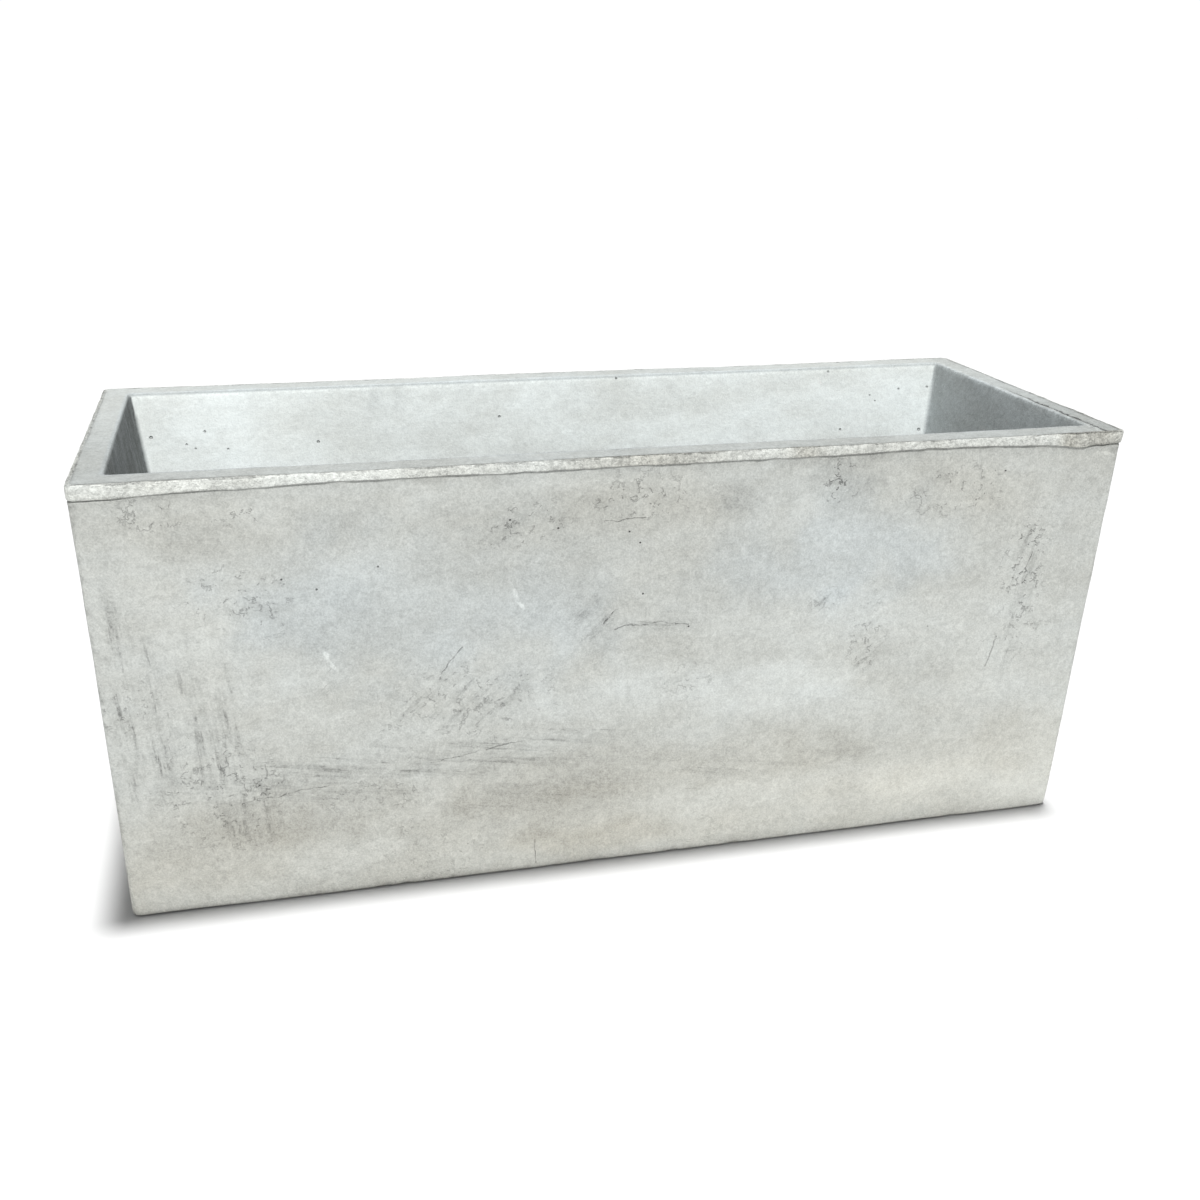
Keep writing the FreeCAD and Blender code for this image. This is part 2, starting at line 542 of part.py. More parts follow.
def sub_parts():
    parts = {
        "trough_shell": trough_shell(),
        "reservoir_tray": reservoir_tray(),
        "drain_socket": drain_socket(),
        "drain_gasket": drain_gasket(),
        "drain_washer": drain_washer(),
        "drain_nut": drain_nut(),
        "standpipe": standpipe(),
        "standpipe_seal": standpipe_seal(),
        "overflow_strainer": overflow_strainer(),
        "pull_rod": pull_rod(),
        "platform_left": platform_half(-1),
        "platform_right": platform_half(1),
        "joiner_clips": joiner_clips(),
        "support_legs": support_legs(),
        "fill_shaft": fill_shaft(),
        "shaft_collar": shaft_collar(),
        "lid_ring": lid_ring(),
        "lid_pin": lid_pin(),
        "shaft_lid": shaft_lid(),
        "gauge_cage": gauge_cage(),
        "gauge_tube": gauge_tube(),
        "gauge_sleeve": gauge_sleeve(),
        "gauge_window": gauge_window(),
        "gauge_float": gauge_float(),
        "float_rod": float_rod(),
        "level_marker": level_marker(),
    }
    for number, x in enumerate(CUP_X, 1):
        parts[f"wick_cup_{number}"] = wick_cup(x)
    return parts


os.makedirs("parts", exist_ok=True)
for name, shape in sub_parts().items():
    solids = len(shape.Solids)
    print(f"{name:18s} valid {shape.isValid()}  solids {solids}  {shape.Volume / 1e6:8.3f} litres")
    shape.exportStep(f"parts/{name}.step")
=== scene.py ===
import json
import math

import bmesh
import bpy
import numpy as np
from mathutils import Matrix, Vector


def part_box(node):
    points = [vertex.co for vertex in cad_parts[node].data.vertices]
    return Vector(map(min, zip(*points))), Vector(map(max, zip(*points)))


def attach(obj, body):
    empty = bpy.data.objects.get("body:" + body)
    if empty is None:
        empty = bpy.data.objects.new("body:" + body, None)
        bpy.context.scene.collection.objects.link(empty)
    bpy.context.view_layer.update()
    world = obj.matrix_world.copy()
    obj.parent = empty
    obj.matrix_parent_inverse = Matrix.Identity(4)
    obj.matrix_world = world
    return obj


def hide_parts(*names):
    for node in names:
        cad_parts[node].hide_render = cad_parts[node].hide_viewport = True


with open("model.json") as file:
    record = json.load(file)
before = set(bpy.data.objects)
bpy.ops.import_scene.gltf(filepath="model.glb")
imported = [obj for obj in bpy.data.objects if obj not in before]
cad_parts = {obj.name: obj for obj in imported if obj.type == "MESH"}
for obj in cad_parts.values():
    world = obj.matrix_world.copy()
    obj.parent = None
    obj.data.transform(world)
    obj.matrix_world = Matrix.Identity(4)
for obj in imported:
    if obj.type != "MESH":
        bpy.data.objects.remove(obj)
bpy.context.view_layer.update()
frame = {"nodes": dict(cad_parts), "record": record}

# Self watering trough planter. The trough is a detailed mesh that stands for its CAD node; the
# watering kit inside it keeps its CAD shapes. Everything is in metres, in the frame of the CAD.

LOW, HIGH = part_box("trough_shell")
LENGTH, WIDTH, HEIGHT = HIGH - LOW

# ---- the trough's own dimensions ----

BASE_LENGTH, BASE_WIDTH = 0.980, 0.318
LIP_HEIGHT, LIP_PROUD = 0.011, 0.0009
RIM_END, RIM_SIDE = 0.028, 0.030
DRAFT_END, DRAFT_SIDE = 0.14, 0.13
FLOOR = 0.040
CORNER_R, BASE_EDGE_R, RIM_EDGE_R, INNER_EDGE_R = 0.007, 0.003, 0.0025, 0.002
CAVITY_CORNER_R, CAVITY_FLOOR_R = 0.007, 0.006
POCKET_R, POCKET_DEPTH, CHANNEL_WIDTH, CHANNEL_DEPTH = 0.036, 0.024, 0.016, 0.008
LIP_FOOT = HEIGHT - LIP_HEIGHT + 0.0014      # its worn foot

LONG_SPANS, SHORT_SPANS, CORNER_SPANS = 132, 50, 4      # coarse columns along each side and corner
FINE = 3                                                # fine columns to one coarse column
WALL_STEP, LIP_STEP, RIM_STEP, INNER_STEP = 0.0075, 0.0013, 0.0023, 0.0090


# ---- repeatable noise for shaping meshes ----

def lattice(ix, iy, iz, seed):
    """Repeatable number from -1 to 1 for each lattice point."""
    n = ix * 73856093 ^ iy * 19349663 ^ iz * 83492791 ^ (seed * 40503 + 977)
    n = n & 0xFFFFFFFF
    n = ((n ^ (n >> 15)) * 2246822519) & 0xFFFFFFFF
    n = ((n ^ (n >> 13)) * 3266489917) & 0xFFFFFFFF
    n = n ^ (n >> 16)
    return n / 2147483647.5 - 1.0


def noise(points, size, seed):
    """Smooth noise from about -1 to 1 over an array of points, its features about size across."""
    p = points / size
    base = np.floor(p).astype(np.int64)
    f = p - base
    f = f * f * (3 - 2 * f)
    total = 0.0
    for dx in (0, 1):
        for dy in (0, 1):
            for dz in (0, 1):
                weight = ((f[..., 0] if dx else 1 - f[..., 0])
                          * (f[..., 1] if dy else 1 - f[..., 1])
                          * (f[..., 2] if dz else 1 - f[..., 2]))
                total = total + weight * lattice(base[..., 0] + dx, base[..., 1] + dy,
                                                 base[..., 2] + dz, seed)
    return total


def rough(points, size, seed, octaves=3):
    """Several octaves of noise, each half the size and half the height of the last."""
    total, height = 0.0, 1.0
    for octave in range(octaves):
        total = total + height * noise(points, size, seed + octave)
        size, height = size / 2, height / 2
    return total


def smooth(value, low, high):
    """0 below low, 1 above high, with soft ends."""
    share = np.clip((value - low) / (high - low), 0, 1)
    return share * share * (3 - 2 * share)


# ---- the trough ----

def body_half(z, out=0.0):
    """Half length, half width and corner radius of the outside at height z."""
    share = z / HEIGHT
    a = (BASE_LENGTH + (LENGTH - 2 * LIP_PROUD - BASE_LENGTH) * share) / 2 + out
    b = (BASE_WIDTH + (WIDTH - 2 * LIP_PROUD - BASE_WIDTH) * share) / 2 + out
    return a, b, CORNER_R + max(out, 0)


def core_half(z, inset=0.0):
    """Half length, half width and corner radius of the cavity at height z."""
    down = HEIGHT - z
    a = LENGTH / 2 - RIM_END - DRAFT_END * down - inset
    b = WIDTH / 2 - RIM_SIDE - DRAFT_SIDE * down - inset
    return a, b, max(CAVITY_CORNER_R - inset, 0.003)


def columns():
    """Where each fine column stands round a ring: its place on the core and its way outwards."""
    places, ways = [], []
    sides = (((-1, -1), (1, -1), LONG_SPANS), ((1, -1), (1, 1), SHORT_SPANS),
             ((1, 1), (-1, 1), LONG_SPANS), ((-1, 1), (-1, -1), SHORT_SPANS))
    for side, (start, end, spans) in enumerate(sides):
        heading = math.radians(90 * side - 90)
        start, end = np.array(start, float), np.array(end, float)
        for k in range(spans * FINE):
            places.append(start + (end - start) * k / (spans * FINE))
            ways.append((math.cos(heading), math.sin(heading)))
        for k in range(CORNER_SPANS * FINE):
            turn = heading + math.radians(90) * k / (CORNER_SPANS * FINE)
            places.append(end)
            ways.append((math.cos(turn), math.sin(turn)))
    return np.array(places), np.array(ways)


def profile():
    """Rings of the trough from under its base, up the outside, over the rim and down the inside."""
    rings = []                                   # (half length, half width, radius, z, zone)

    def add(size, z, zone):
        rings.append((*size, z, zone))

    add(body_half(0, -0.03), 0, "under")
    add(body_half(0, -0.012), 0, "under")
    for k in range(6):
        turn = math.radians(90 * k / 5)
        add(body_half(0, -BASE_EDGE_R * (1 - math.sin(turn))), BASE_EDGE_R * (1 - math.cos(turn)),
            "foot")
    for z in np.arange(BASE_EDGE_R + WALL_STEP, LIP_FOOT - 0.007, WALL_STEP):
        add(body_half(z), z, "wall")
    for z in (0.0072, 0.0052, 0.0036, 0.0024, 0.0014, 0.0006):
        add(body_half(LIP_FOOT - z), LIP_FOOT - z, "fine_wall")
    add(body_half(LIP_FOOT, 0.0007), LIP_FOOT, "lip")
    for z in np.arange(LIP_FOOT + 0.0007, HEIGHT - RIM_EDGE_R, LIP_STEP):
        add(body_half(z, LIP_PROUD), z, "lip")
    for k in range(5):
        turn = math.radians(90 * k / 4)
        z = HEIGHT - RIM_EDGE_R * (1 - math.sin(turn))
        add(body_half(z, LIP_PROUD - RIM_EDGE_R * (1 - math.cos(turn))), z, "lip")
    outer = np.array(body_half(HEIGHT, LIP_PROUD - RIM_EDGE_R))
    inner = np.array(core_half(HEIGHT, -INNER_EDGE_R))
    steps = round((RIM_SIDE - RIM_EDGE_R - INNER_EDGE_R) / RIM_STEP)
    for k in range(1, steps):
        add(outer + (inner - outer) * k / steps, HEIGHT, "rim")
    for k in range(4):
        turn = math.radians(90 * k / 3)
        z = HEIGHT - INNER_EDGE_R * (1 - math.cos(turn))
        add(core_half(HEIGHT, -INNER_EDGE_R * (1 - math.sin(turn))), z, "inner_edge")
    for z in np.arange(HEIGHT - INNER_EDGE_R - RIM_STEP, HEIGHT - 0.022, -RIM_STEP):
        add(core_half(z), z, "fine_inner")
    for z in np.arange(HEIGHT - 0.026, FLOOR + CAVITY_FLOOR_R, -INNER_STEP):
        add(core_half(z), z, "inner")
    for k in range(5):
        turn = math.radians(90 * k / 4)
        z = FLOOR + CAVITY_FLOOR_R * (1 - math.sin(turn))
        add(core_half(z, CAVITY_FLOOR_R * (1 - math.cos(turn))), z, "inner")
    add(core_half(FLOOR, CAVITY_FLOOR_R + 0.02), FLOOR, "inner")
    return rings


# Soft patches on the front: centre x and z, half length and height, how much lighter and cooler
FRONT_PATCHES = (
    (-0.22, 0.3, 0.2, 0.08, 0, 1.2), (0.2, 0.33, 0.14, 0.06, -0.01, 1.2),
    (0.1, 0.19, 0.16, 0.035, 0.09, 0.7), (0.42, 0.2, 0.1, 0.06, 0.01, 0.2),
    (-0.12, 0.068, 0.19, 0.034, -0.065, -0.3), (0.02, 0.11, 0.26, 0.034, -0.06, -0.6),
    (-0.03, 0.03, 0.08, 0.02, -0.07, -1.1), (-0.42, 0.06, 0.09, 0.05, -0.04, -0.6),
    (0.44, 0.085, 0.05, 0.05, -0.04, -0.5), (-0.2, 0.39, 0.3, 0.03, -0.03, -0.4),
    (0, 0.385, 0.1, 0.03, -0.05, -0.3), (-0.13, 0.345, 0.09, 0.03, -0.03, -0.6),
    (0.33, 0.385, 0.14, 0.03, -0.03, -0.6), (0.24, 0.26, 0.07, 0.03, 0.03, 0.5),
    (0.33, 0.055, 0.1, 0.02, 0.05, -0.2), (-0.3, 0.1, 0.1, 0.035, -0.05, -0.3),
    (0.31, 0.11, 0.1, 0.035, -0.035, 0), (0.45, 0.03, 0.06, 0.025, 0.05, 0),
    (-0.3, 0.3, 0.08, 0.04, -0.04, 0.2), (-0.22, 0.4, 0.14, 0.03, -0.04, 0.2),
    (0.17, 0.402, 0.12, 0.026, -0.06, 0.3), (0.1, 0.396, 0.06, 0.03, 0.035, 0),
    (0.45, 0.4, 0.06, 0.035, -0.06, -0.2), (0.3, 0.2, 0.06, 0.04, -0.03, 0),
)

# How far each kind of stroke leans from upright, in degrees
MARK_LEANS = {"upright": 5, "leaning": -14, "slanting": -45, "level": 80}

# Patches of strokes and pits on the front: centre x and z, half length and height, strength
FRONT_MARKS = {
    "upright": (
        (-0.476, 0.245, 0.01, 0.1, 0.9), (-0.45, 0.215, 0.014, 0.08, 0.9),
        (-0.413, 0.235, 0.012, 0.06, 0.8), (-0.396, 0.195, 0.02, 0.08, 0.9),
        (-0.385, 0.105, 0.03, 0.035, 0.6),
    ),
    "leaning": (
        (0.411, 0.3, 0.012, 0.045, 1), (0.403, 0.215, 0.008, 0.035, 0.9),
    ),
    "slanting": (
        (0.245, 0.222, 0.018, 0.028, 0.7), (0.195, 0.275, 0.014, 0.008, 0.6),
        (-0.3, 0.24, 0.02, 0.03, 0.4), (-0.175, 0.205, 0.05, 0.03, 0.5),
        (-0.04, 0.275, 0.02, 0.02, 0.5),
    ),
    "level": (
        (-0.24, 0.132, 0.15, 0.02, 0.8), (-0.13, 0.152, 0.11, 0.014, 0.7),
        (0.015, 0.268, 0.04, 0.005, 0.9), (-0.01, 0.095, 0.18, 0.02, 0.35),
        (0.385, 0.142, 0.016, 0.004, 0.6),
    ),
    "pits": (
        (0.411, 0.3, 0.02, 0.045, 1.1), (0.33, 0.385, 0.06, 0.03, 0.6),
        (0.195, 0.402, 0.018, 0.018, 1.1), (0, 0.4, 0.05, 0.018, 0.7),
        (-0.115, 0.38, 0.035, 0.02, 0.6), (0.192, 0.275, 0.018, 0.01, 0.5),
        (-0.4, 0.13, 0.045, 0.055, 0.7), (-0.17, 0.2, 0.07, 0.045, 0.55),
        (-0.44, 0.41, 0.025, 0.012, 0.8), (-0.36, 0.405, 0.02, 0.01, 0.7),
        (-0.37, 0.32, 0.05, 0.03, 0.6), (0.245, 0.222, 0.02, 0.03, 0.7),
        (0.06, 0.2, 0.03, 0.02, 0.5), (-0.25, 0.11, 0.06, 0.02, 0.4),
    ),
}

# Stains on the front of the lip (x, width, strength) and smears atop the inner back wall (x)
LIP_STAINS = ((0, 0.07, 0.75), (0.157, 0.016, 0.8), (0.437, 0.011, 0.8), (0.47, 0.03, 0.8))
BACK_SMEARS = (-0.212, -0.188)


def patch(points, x, z, half_x, half_z, wobble):
    """Soft edged patch round a place on an upright face, from 0 outside to 1 in its middle."""
    apart = np.hypot((points[..., 0] - x) / half_x, (points[..., 2] - z) / half_z)
    return smooth(-(apart + wobble), -1.35, -0.35)


class TroughGrid:
    """The trough's points as rings by columns, roughened, with what each point needs to look right.
    Zones and masks are 1 where they hold, and go softly to 0."""

    def __init__(self):
        place, self.way = columns()
        rings = profile()
        self.zone = np.array([r[4] for r in rings])
        a, b, r, self.z = (np.array([ring[k] for ring in rings])[:, None] for k in range(4))
        x = (a - r) * place[:, 0] + r * self.way[:, 0]
        y = (b - r) * place[:, 1] + r * self.way[:, 1]
        self.points = np.stack([x, y, np.broadcast_to(self.z, x.shape)], -1)
        self.ones = np.ones(x.shape)
        along = np.roll(self.points, -1, 1) - np.roll(self.points, 1, 1)
        up = np.gradient(self.points, axis=0)
        normal = np.cross(along, up)
        self.normal = normal / np.linalg.norm(normal, axis=-1, keepdims=True)
        self.lip, self.rim = self.zones("lip"), self.zones("rim")
        self.edge, self.foot = self.zones("inner_edge"), self.zones("foot")
        self.inside = self.zones("inner", "fine_inner")
        self.outside = self.zones("wall", "fine_wall")
        # The same for every ring at one place round the trough
        self.around = self.points * (1, 1, 0)
        self.right_corner = smooth(self.points[..., 0], 0.30, 0.48) * (self.points[..., 1] < 0)
        self.near_ends = smooth(np.abs(self.points[..., 0]), 0.36, 0.49)

    def zones(self, *names):
        return np.isin(self.zone, names)[:, None].astype(float)

    def wander_the_lip(self):
        """The lip's foot wanders up and down, and hangs lower towards the ends."""
        wander = 0.0008 * noise(self.around, 0.07, 11) + 0.0005 * noise(self.around, 0.016, 12)
        wander = wander - 0.0022 * self.right_corner * (0.6 + noise(self.around, 0.03, 13))
        wander = wander - 0.0034 * self.near_ends
        reach = np.where(self.z > LIP_FOOT, 0.0065, 0.0120)
        near_foot = np.clip(1 - np.abs(self.z - LIP_FOOT) / reach, 0, 1) * (self.outside + self.lip)
        self.points = self.points + np.array([0.0, 0.0, 1.0]) * (wander * near_foot)[..., None]

    def skin(self):
        """Broad unevenness of every face."""
        points = self.points
        push = 0.0007 * rough(points, 0.22, 21) + 0.00028 * rough(points, 0.05, 22, 2)
        push = push + 0.0001 * noise(points, 0.011, 23) * (self.outside + self.inside + self.rim)
        return push * (1 - self.zones("under"))

    def lip_relief(self):
        """The groove under the lip and the lumps of the lip, larger at the right front corner."""
        groove = np.exp(-((self.z - LIP_FOOT + 0.0011) / 0.0011) ** 2) * (self.outside + self.lip)
        breaks = noise(self.around, 0.028, 31) + 0.5 * noise(self.around, 0.008, 32)
        self.groove = groove * smooth(breaks, -0.9, 0.5)
        push = -(0.0006 + 0.0006 * self.near_ends) * self.groove
        lumps = rough(self.points, 0.014, 41, 3) * (1 + 1.3 * self.right_corner)
        fade = 1 - smooth(self.z, HEIGHT - 0.0015, HEIGHT)
        push = push + 0.00042 * lumps * self.lip * (0.35 + 0.65 * fade)
        return push + 0.0005 * self.right_corner * self.lip * fade

    def rim_relief(self):
        """A fine crack just behind the lip, a rough inner edge and a split in the right end's rim."""
        points, way = self.points, self.way
        gap = (LENGTH / 2 - np.abs(points[..., 0])) * (np.abs(way[:, 0]) > 0.7)
        self.outer_gap = gap + (WIDTH / 2 - np.abs(points[..., 1])) * (np.abs(way[:, 0]) <= 0.7)
        crack = np.exp(-((self.outer_gap - 0.0052) / 0.0013) ** 2) * self.rim
        breaks = noise(self.around, 0.05, 51) + 0.4 * noise(self.around, 0.01, 52)
        self.crack = crack * smooth(breaks, -0.55, 0.2)
        push = -0.0006 * self.crack
        right_end = smooth(points[..., 0], 0.455, 0.466)
        right_end = right_end * smooth(0.16 - np.abs(points[..., 1]), 0, 0.03)
        ragged = self.edge + self.zones("fine_inner") * smooth(self.z, HEIGHT - 0.012, HEIGHT - 0.002)
        self.ragged = ragged * right_end
        torn = np.clip(rough(points, 0.011, 61, 3), -0.2, 1)
        push = push - (0.00020 + 0.00010 * right_end) * ragged * torn
        inner_gap = np.abs(points[..., 0] - (LENGTH / 2 - RIM_END) - 0.007
                           - 0.003 * noise(self.around, 0.03, 62))
        split = np.exp(-(inner_gap / 0.0013) ** 2) * self.rim * smooth(points[..., 0], 0.455, 0.466)
        split = split * smooth(-points[..., 1], 0.02, 0.07)
        self.split = split * smooth(points[..., 1], -0.165, -0.145)
        return push - 0.0012 * self.split

    def wear(self):
        """Bites out of the base edge and worn upright edges."""
        bites = noise(self.around, 0.012, 71) + 0.5 * noise(self.around, 0.05, 72)
        bites = smooth(bites, 0.55, 1.1)
        push = -0.0018 * bites * self.foot * smooth(self.z, 0.0, 0.001)
        corner = 1 - np.maximum(np.abs(self.way[:, 0]), np.abs(self.way[:, 1]))
        self.corner = smooth(corner, 0.0, 0.2) * (self.outside + self.foot)
        chips = np.clip(rough(self.points, 0.02, 81, 3) + 0.3, 0, 1.4)
        return push - 0.0006 * self.corner * chips

    def roughen(self):
        """Moves the points along their normals."""
        self.wander_the_lip()
        push = self.skin() + self.lip_relief() + self.rim_relief() + self.wear()
        self.points = self.points + self.normal * push[..., None]
        self.points[..., 2] = np.clip(self.points[..., 2], 0, HEIGHT)
        front = (self.points[..., 1] < -0.14) * smooth(-self.way[:, 1], 0.5, 0.9)
        self.front = front * (self.outside + self.foot)
        self.wobble = 0.45 * rough(self.points, 0.05, 91, 3)
        self.back_inner = self.inside * smooth(self.way[:, 1], 0.6, 0.8) * self.ones

    def tones(self):
        """How much lighter and cooler each point is: patches on the front, stains and smears."""
        points = self.points
        light, cool = np.zeros_like(self.ones), np.zeros_like(self.ones)
        for x, z, half_x, half_z, lighter, cooler in FRONT_PATCHES:
            share = patch(points, x, z, half_x, half_z, self.wobble) * self.front
            light, cool = light + 0.8 * lighter * share, cool + cooler * share
        for x, width, strength in LIP_STAINS:
            stain = np.exp(-((points[..., 0] - x) / width) ** 2) * self.lip * (points[..., 1] < 0)
            stain = stain * strength
            light, cool = light - 0.13 * stain, cool - 1.5 * stain
        for x in BACK_SMEARS:
            smear = np.exp(-((points[..., 0] - x) / 0.007) ** 2)
            smear = smear * smooth(self.z, HEIGHT - 0.040, HEIGHT - 0.025)
            light = light - 0.09 * smear * self.back_inner
        return light, cool

    def marks(self):
        """Where each kind of mark shows: listed places on the front, scattered ones elsewhere."""
        marks = {}
        for seed, (name, places) in enumerate(FRONT_MARKS.items()):
            scattered = smooth(noise(self.points, 0.085, 100 + seed), 0.35, 0.85)
            marks[name] = 0.6 * scattered * self.outside * (1 - self.front)
            for x, z, half_x, half_z, strength in places:
                share = patch(self.points, x, z, half_x * 1.2, half_z * 1.2, self.wobble * 0.8)
                marks[name] = np.maximum(marks[name], strength * share * self.front)
        return marks

    def shades(self):
        """Everything that the concrete's material reads from the mesh."""
        light, cool = self.tones()
        near_lip = np.clip(1 - (LIP_FOOT - self.z) / 0.013, 0, 1) ** 1.5
        on_top = (self.lip + self.rim > 0) & (self.z > HEIGHT - 0.0021)
        return {
            **self.marks(),
            "light": light,
            "cool": cool,
            "lip": self.lip * self.ones,
            "rim": np.clip(self.rim + self.edge, 0, 1) * self.ones,
            "inside": (self.inside + self.edge * 0.5) * self.ones,
            # mask of painted shade in the groove under the lip and in the rim's crack and split
            "groove": np.clip(self.groove + self.crack * 0.8 + self.split, 0, 1),
            "ragged": np.clip(self.ragged, 0, 1),
            "back_inner": self.back_inner,
            "under_lip": near_lip * self.outside * self.ones,
            "left_inner": self.inside * smooth(-self.way[:, 0], 0.6, 0.8),
            "right_inner": self.inside * smooth(self.way[:, 0], 0.6, 0.8),
            "outer_gap": np.where(on_top, self.outer_gap, 0.05),
            "corner": self.corner * self.ones,
        }


def trough_mesh():
    """One closed mesh from the grid: fine columns about the lip and rim, coarse ones elsewhere."""
    grid = TroughGrid()
    grid.roughen()
    fine = np.isin(grid.zone, ("fine_wall", "lip", "rim", "inner_edge", "fine_inner"))
    count = grid.points.shape[1]
    index, kept, total = [], [], 0
    for ring, is_fine in enumerate(fine):
        step = 1 if is_fine else FINE
        chosen = np.arange(0, count, step)
        index.append(np.arange(total, total + len(chosen)))
        kept.append(ring * count + chosen)
        total += len(chosen)
    kept = np.concatenate(kept)
    faces = []
    for low, high in zip(index[:-1], index[1:]):
        for k in range(min(len(low), len(high))):
            face = []
            for row, forward in ((low, True), (high, False)):
                spans = len(row) // min(len(low), len(high))
                run = [row[(k * spans + s) % len(row)] for s in range(spans + 1)]
                face += run if forward else run[::-1]
            faces.append([int(v) for v in face])
    faces.append([int(v) for v in index[0][::-1]])
    faces.append([int(v) for v in index[-1]])
    mesh = bpy.data.meshes.new("trough")
    mesh.from_pydata(grid.points.reshape(-1, 3)[kept].tolist(), [], faces)
    for name, values in grid.shades().items():
        layer = mesh.attributes.new(name, "FLOAT", "POINT")
        layer.data.foreach_set("value", values.reshape(-1)[kept].astype(np.float32))
    mesh.polygons.foreach_set("use_smooth", [True] * len(mesh.polygons))
    return mesh


def drain_cutters():
    """Blocks for the nut's pocket, the drain's hole through the floor and the channel to the back."""
    low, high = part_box("drain_washer")
    middle = (low + high) / 2
    barrel = 0.018
    shapes = []
    for radius, foot, top in ((POCKET_R, -0.01, POCKET_DEPTH), (barrel, 0.01, FLOOR + 0.01)):
        bm = bmesh.new()
        place = Matrix.Translation((middle.x, middle.y, (foot + top) / 2))
        bmesh.ops.create_cone(bm, cap_ends=True, segments=64, radius1=radius, radius2=radius,
                              depth=top - foot, matrix=place)
        shapes.append(bm)
    bm = bmesh.new()
    size = Vector((CHANNEL_WIDTH, WIDTH - middle.y, CHANNEL_DEPTH + 0.01))
    place = Matrix.Translation((middle.x, (middle.y + WIDTH) / 2, CHANNEL_DEPTH - size.z / 2))
    bmesh.ops.create_cube(bm, size=1.0, matrix=place @ Matrix.Diagonal((*size, 1.0)))
    shapes.append(bm)
    cutters = []
    for bm in shapes:
        mesh = bpy.data.meshes.new("cutter")
        bm.to_mesh(mesh)
        bm.free()
        cutters.append(bpy.data.objects.new("cutter", mesh))
    return cutters


def make_trough():
    """The trough as one piece, with the drain's hole, pocket and channel cut out of its floor."""
    trough = bpy.data.objects.new("concrete_trough", trough_mesh())
    bpy.context.scene.collection.objects.link(trough)
    cutters = drain_cutters()
    for cutter in cutters:
        bpy.context.scene.collection.objects.link(cutter)
        cut = trough.modifiers.new("drain", "BOOLEAN")
        cut.operation, cut.solver, cut.object = "DIFFERENCE", "MANIFOLD", cutter
    bpy.context.view_layer.update()
    graph = bpy.context.evaluated_depsgraph_get()
    mesh = bpy.data.meshes.new_from_object(trough.evaluated_get(graph),
                                           preserve_all_data_layers=True, depsgraph=graph)
    trough.modifiers.clear()
    trough.data = mesh
    for cutter in cutters:
        bpy.data.objects.remove(cutter)
    mesh.set_sharp_from_angle(angle=math.radians(60))
    return trough


# ---- materials ----

class Value:
    """Output of a material's node; +, - and * on it add the nodes that work the result out."""

    def __init__(self, nodes, socket):
        self.nodes, self.socket = nodes, socket

    def __add__(self, other):
        return self.nodes.math("ADD", self, other)

    def __radd__(self, other):
        return self.nodes.math("ADD", other, self)

    def __sub__(self, other):
        return self.nodes.math("SUBTRACT", self, other)

    def __rsub__(self, other):
        return self.nodes.math("SUBTRACT", other, self)

    def __mul__(self, other):
        return self.nodes.math("MULTIPLY", self, other)


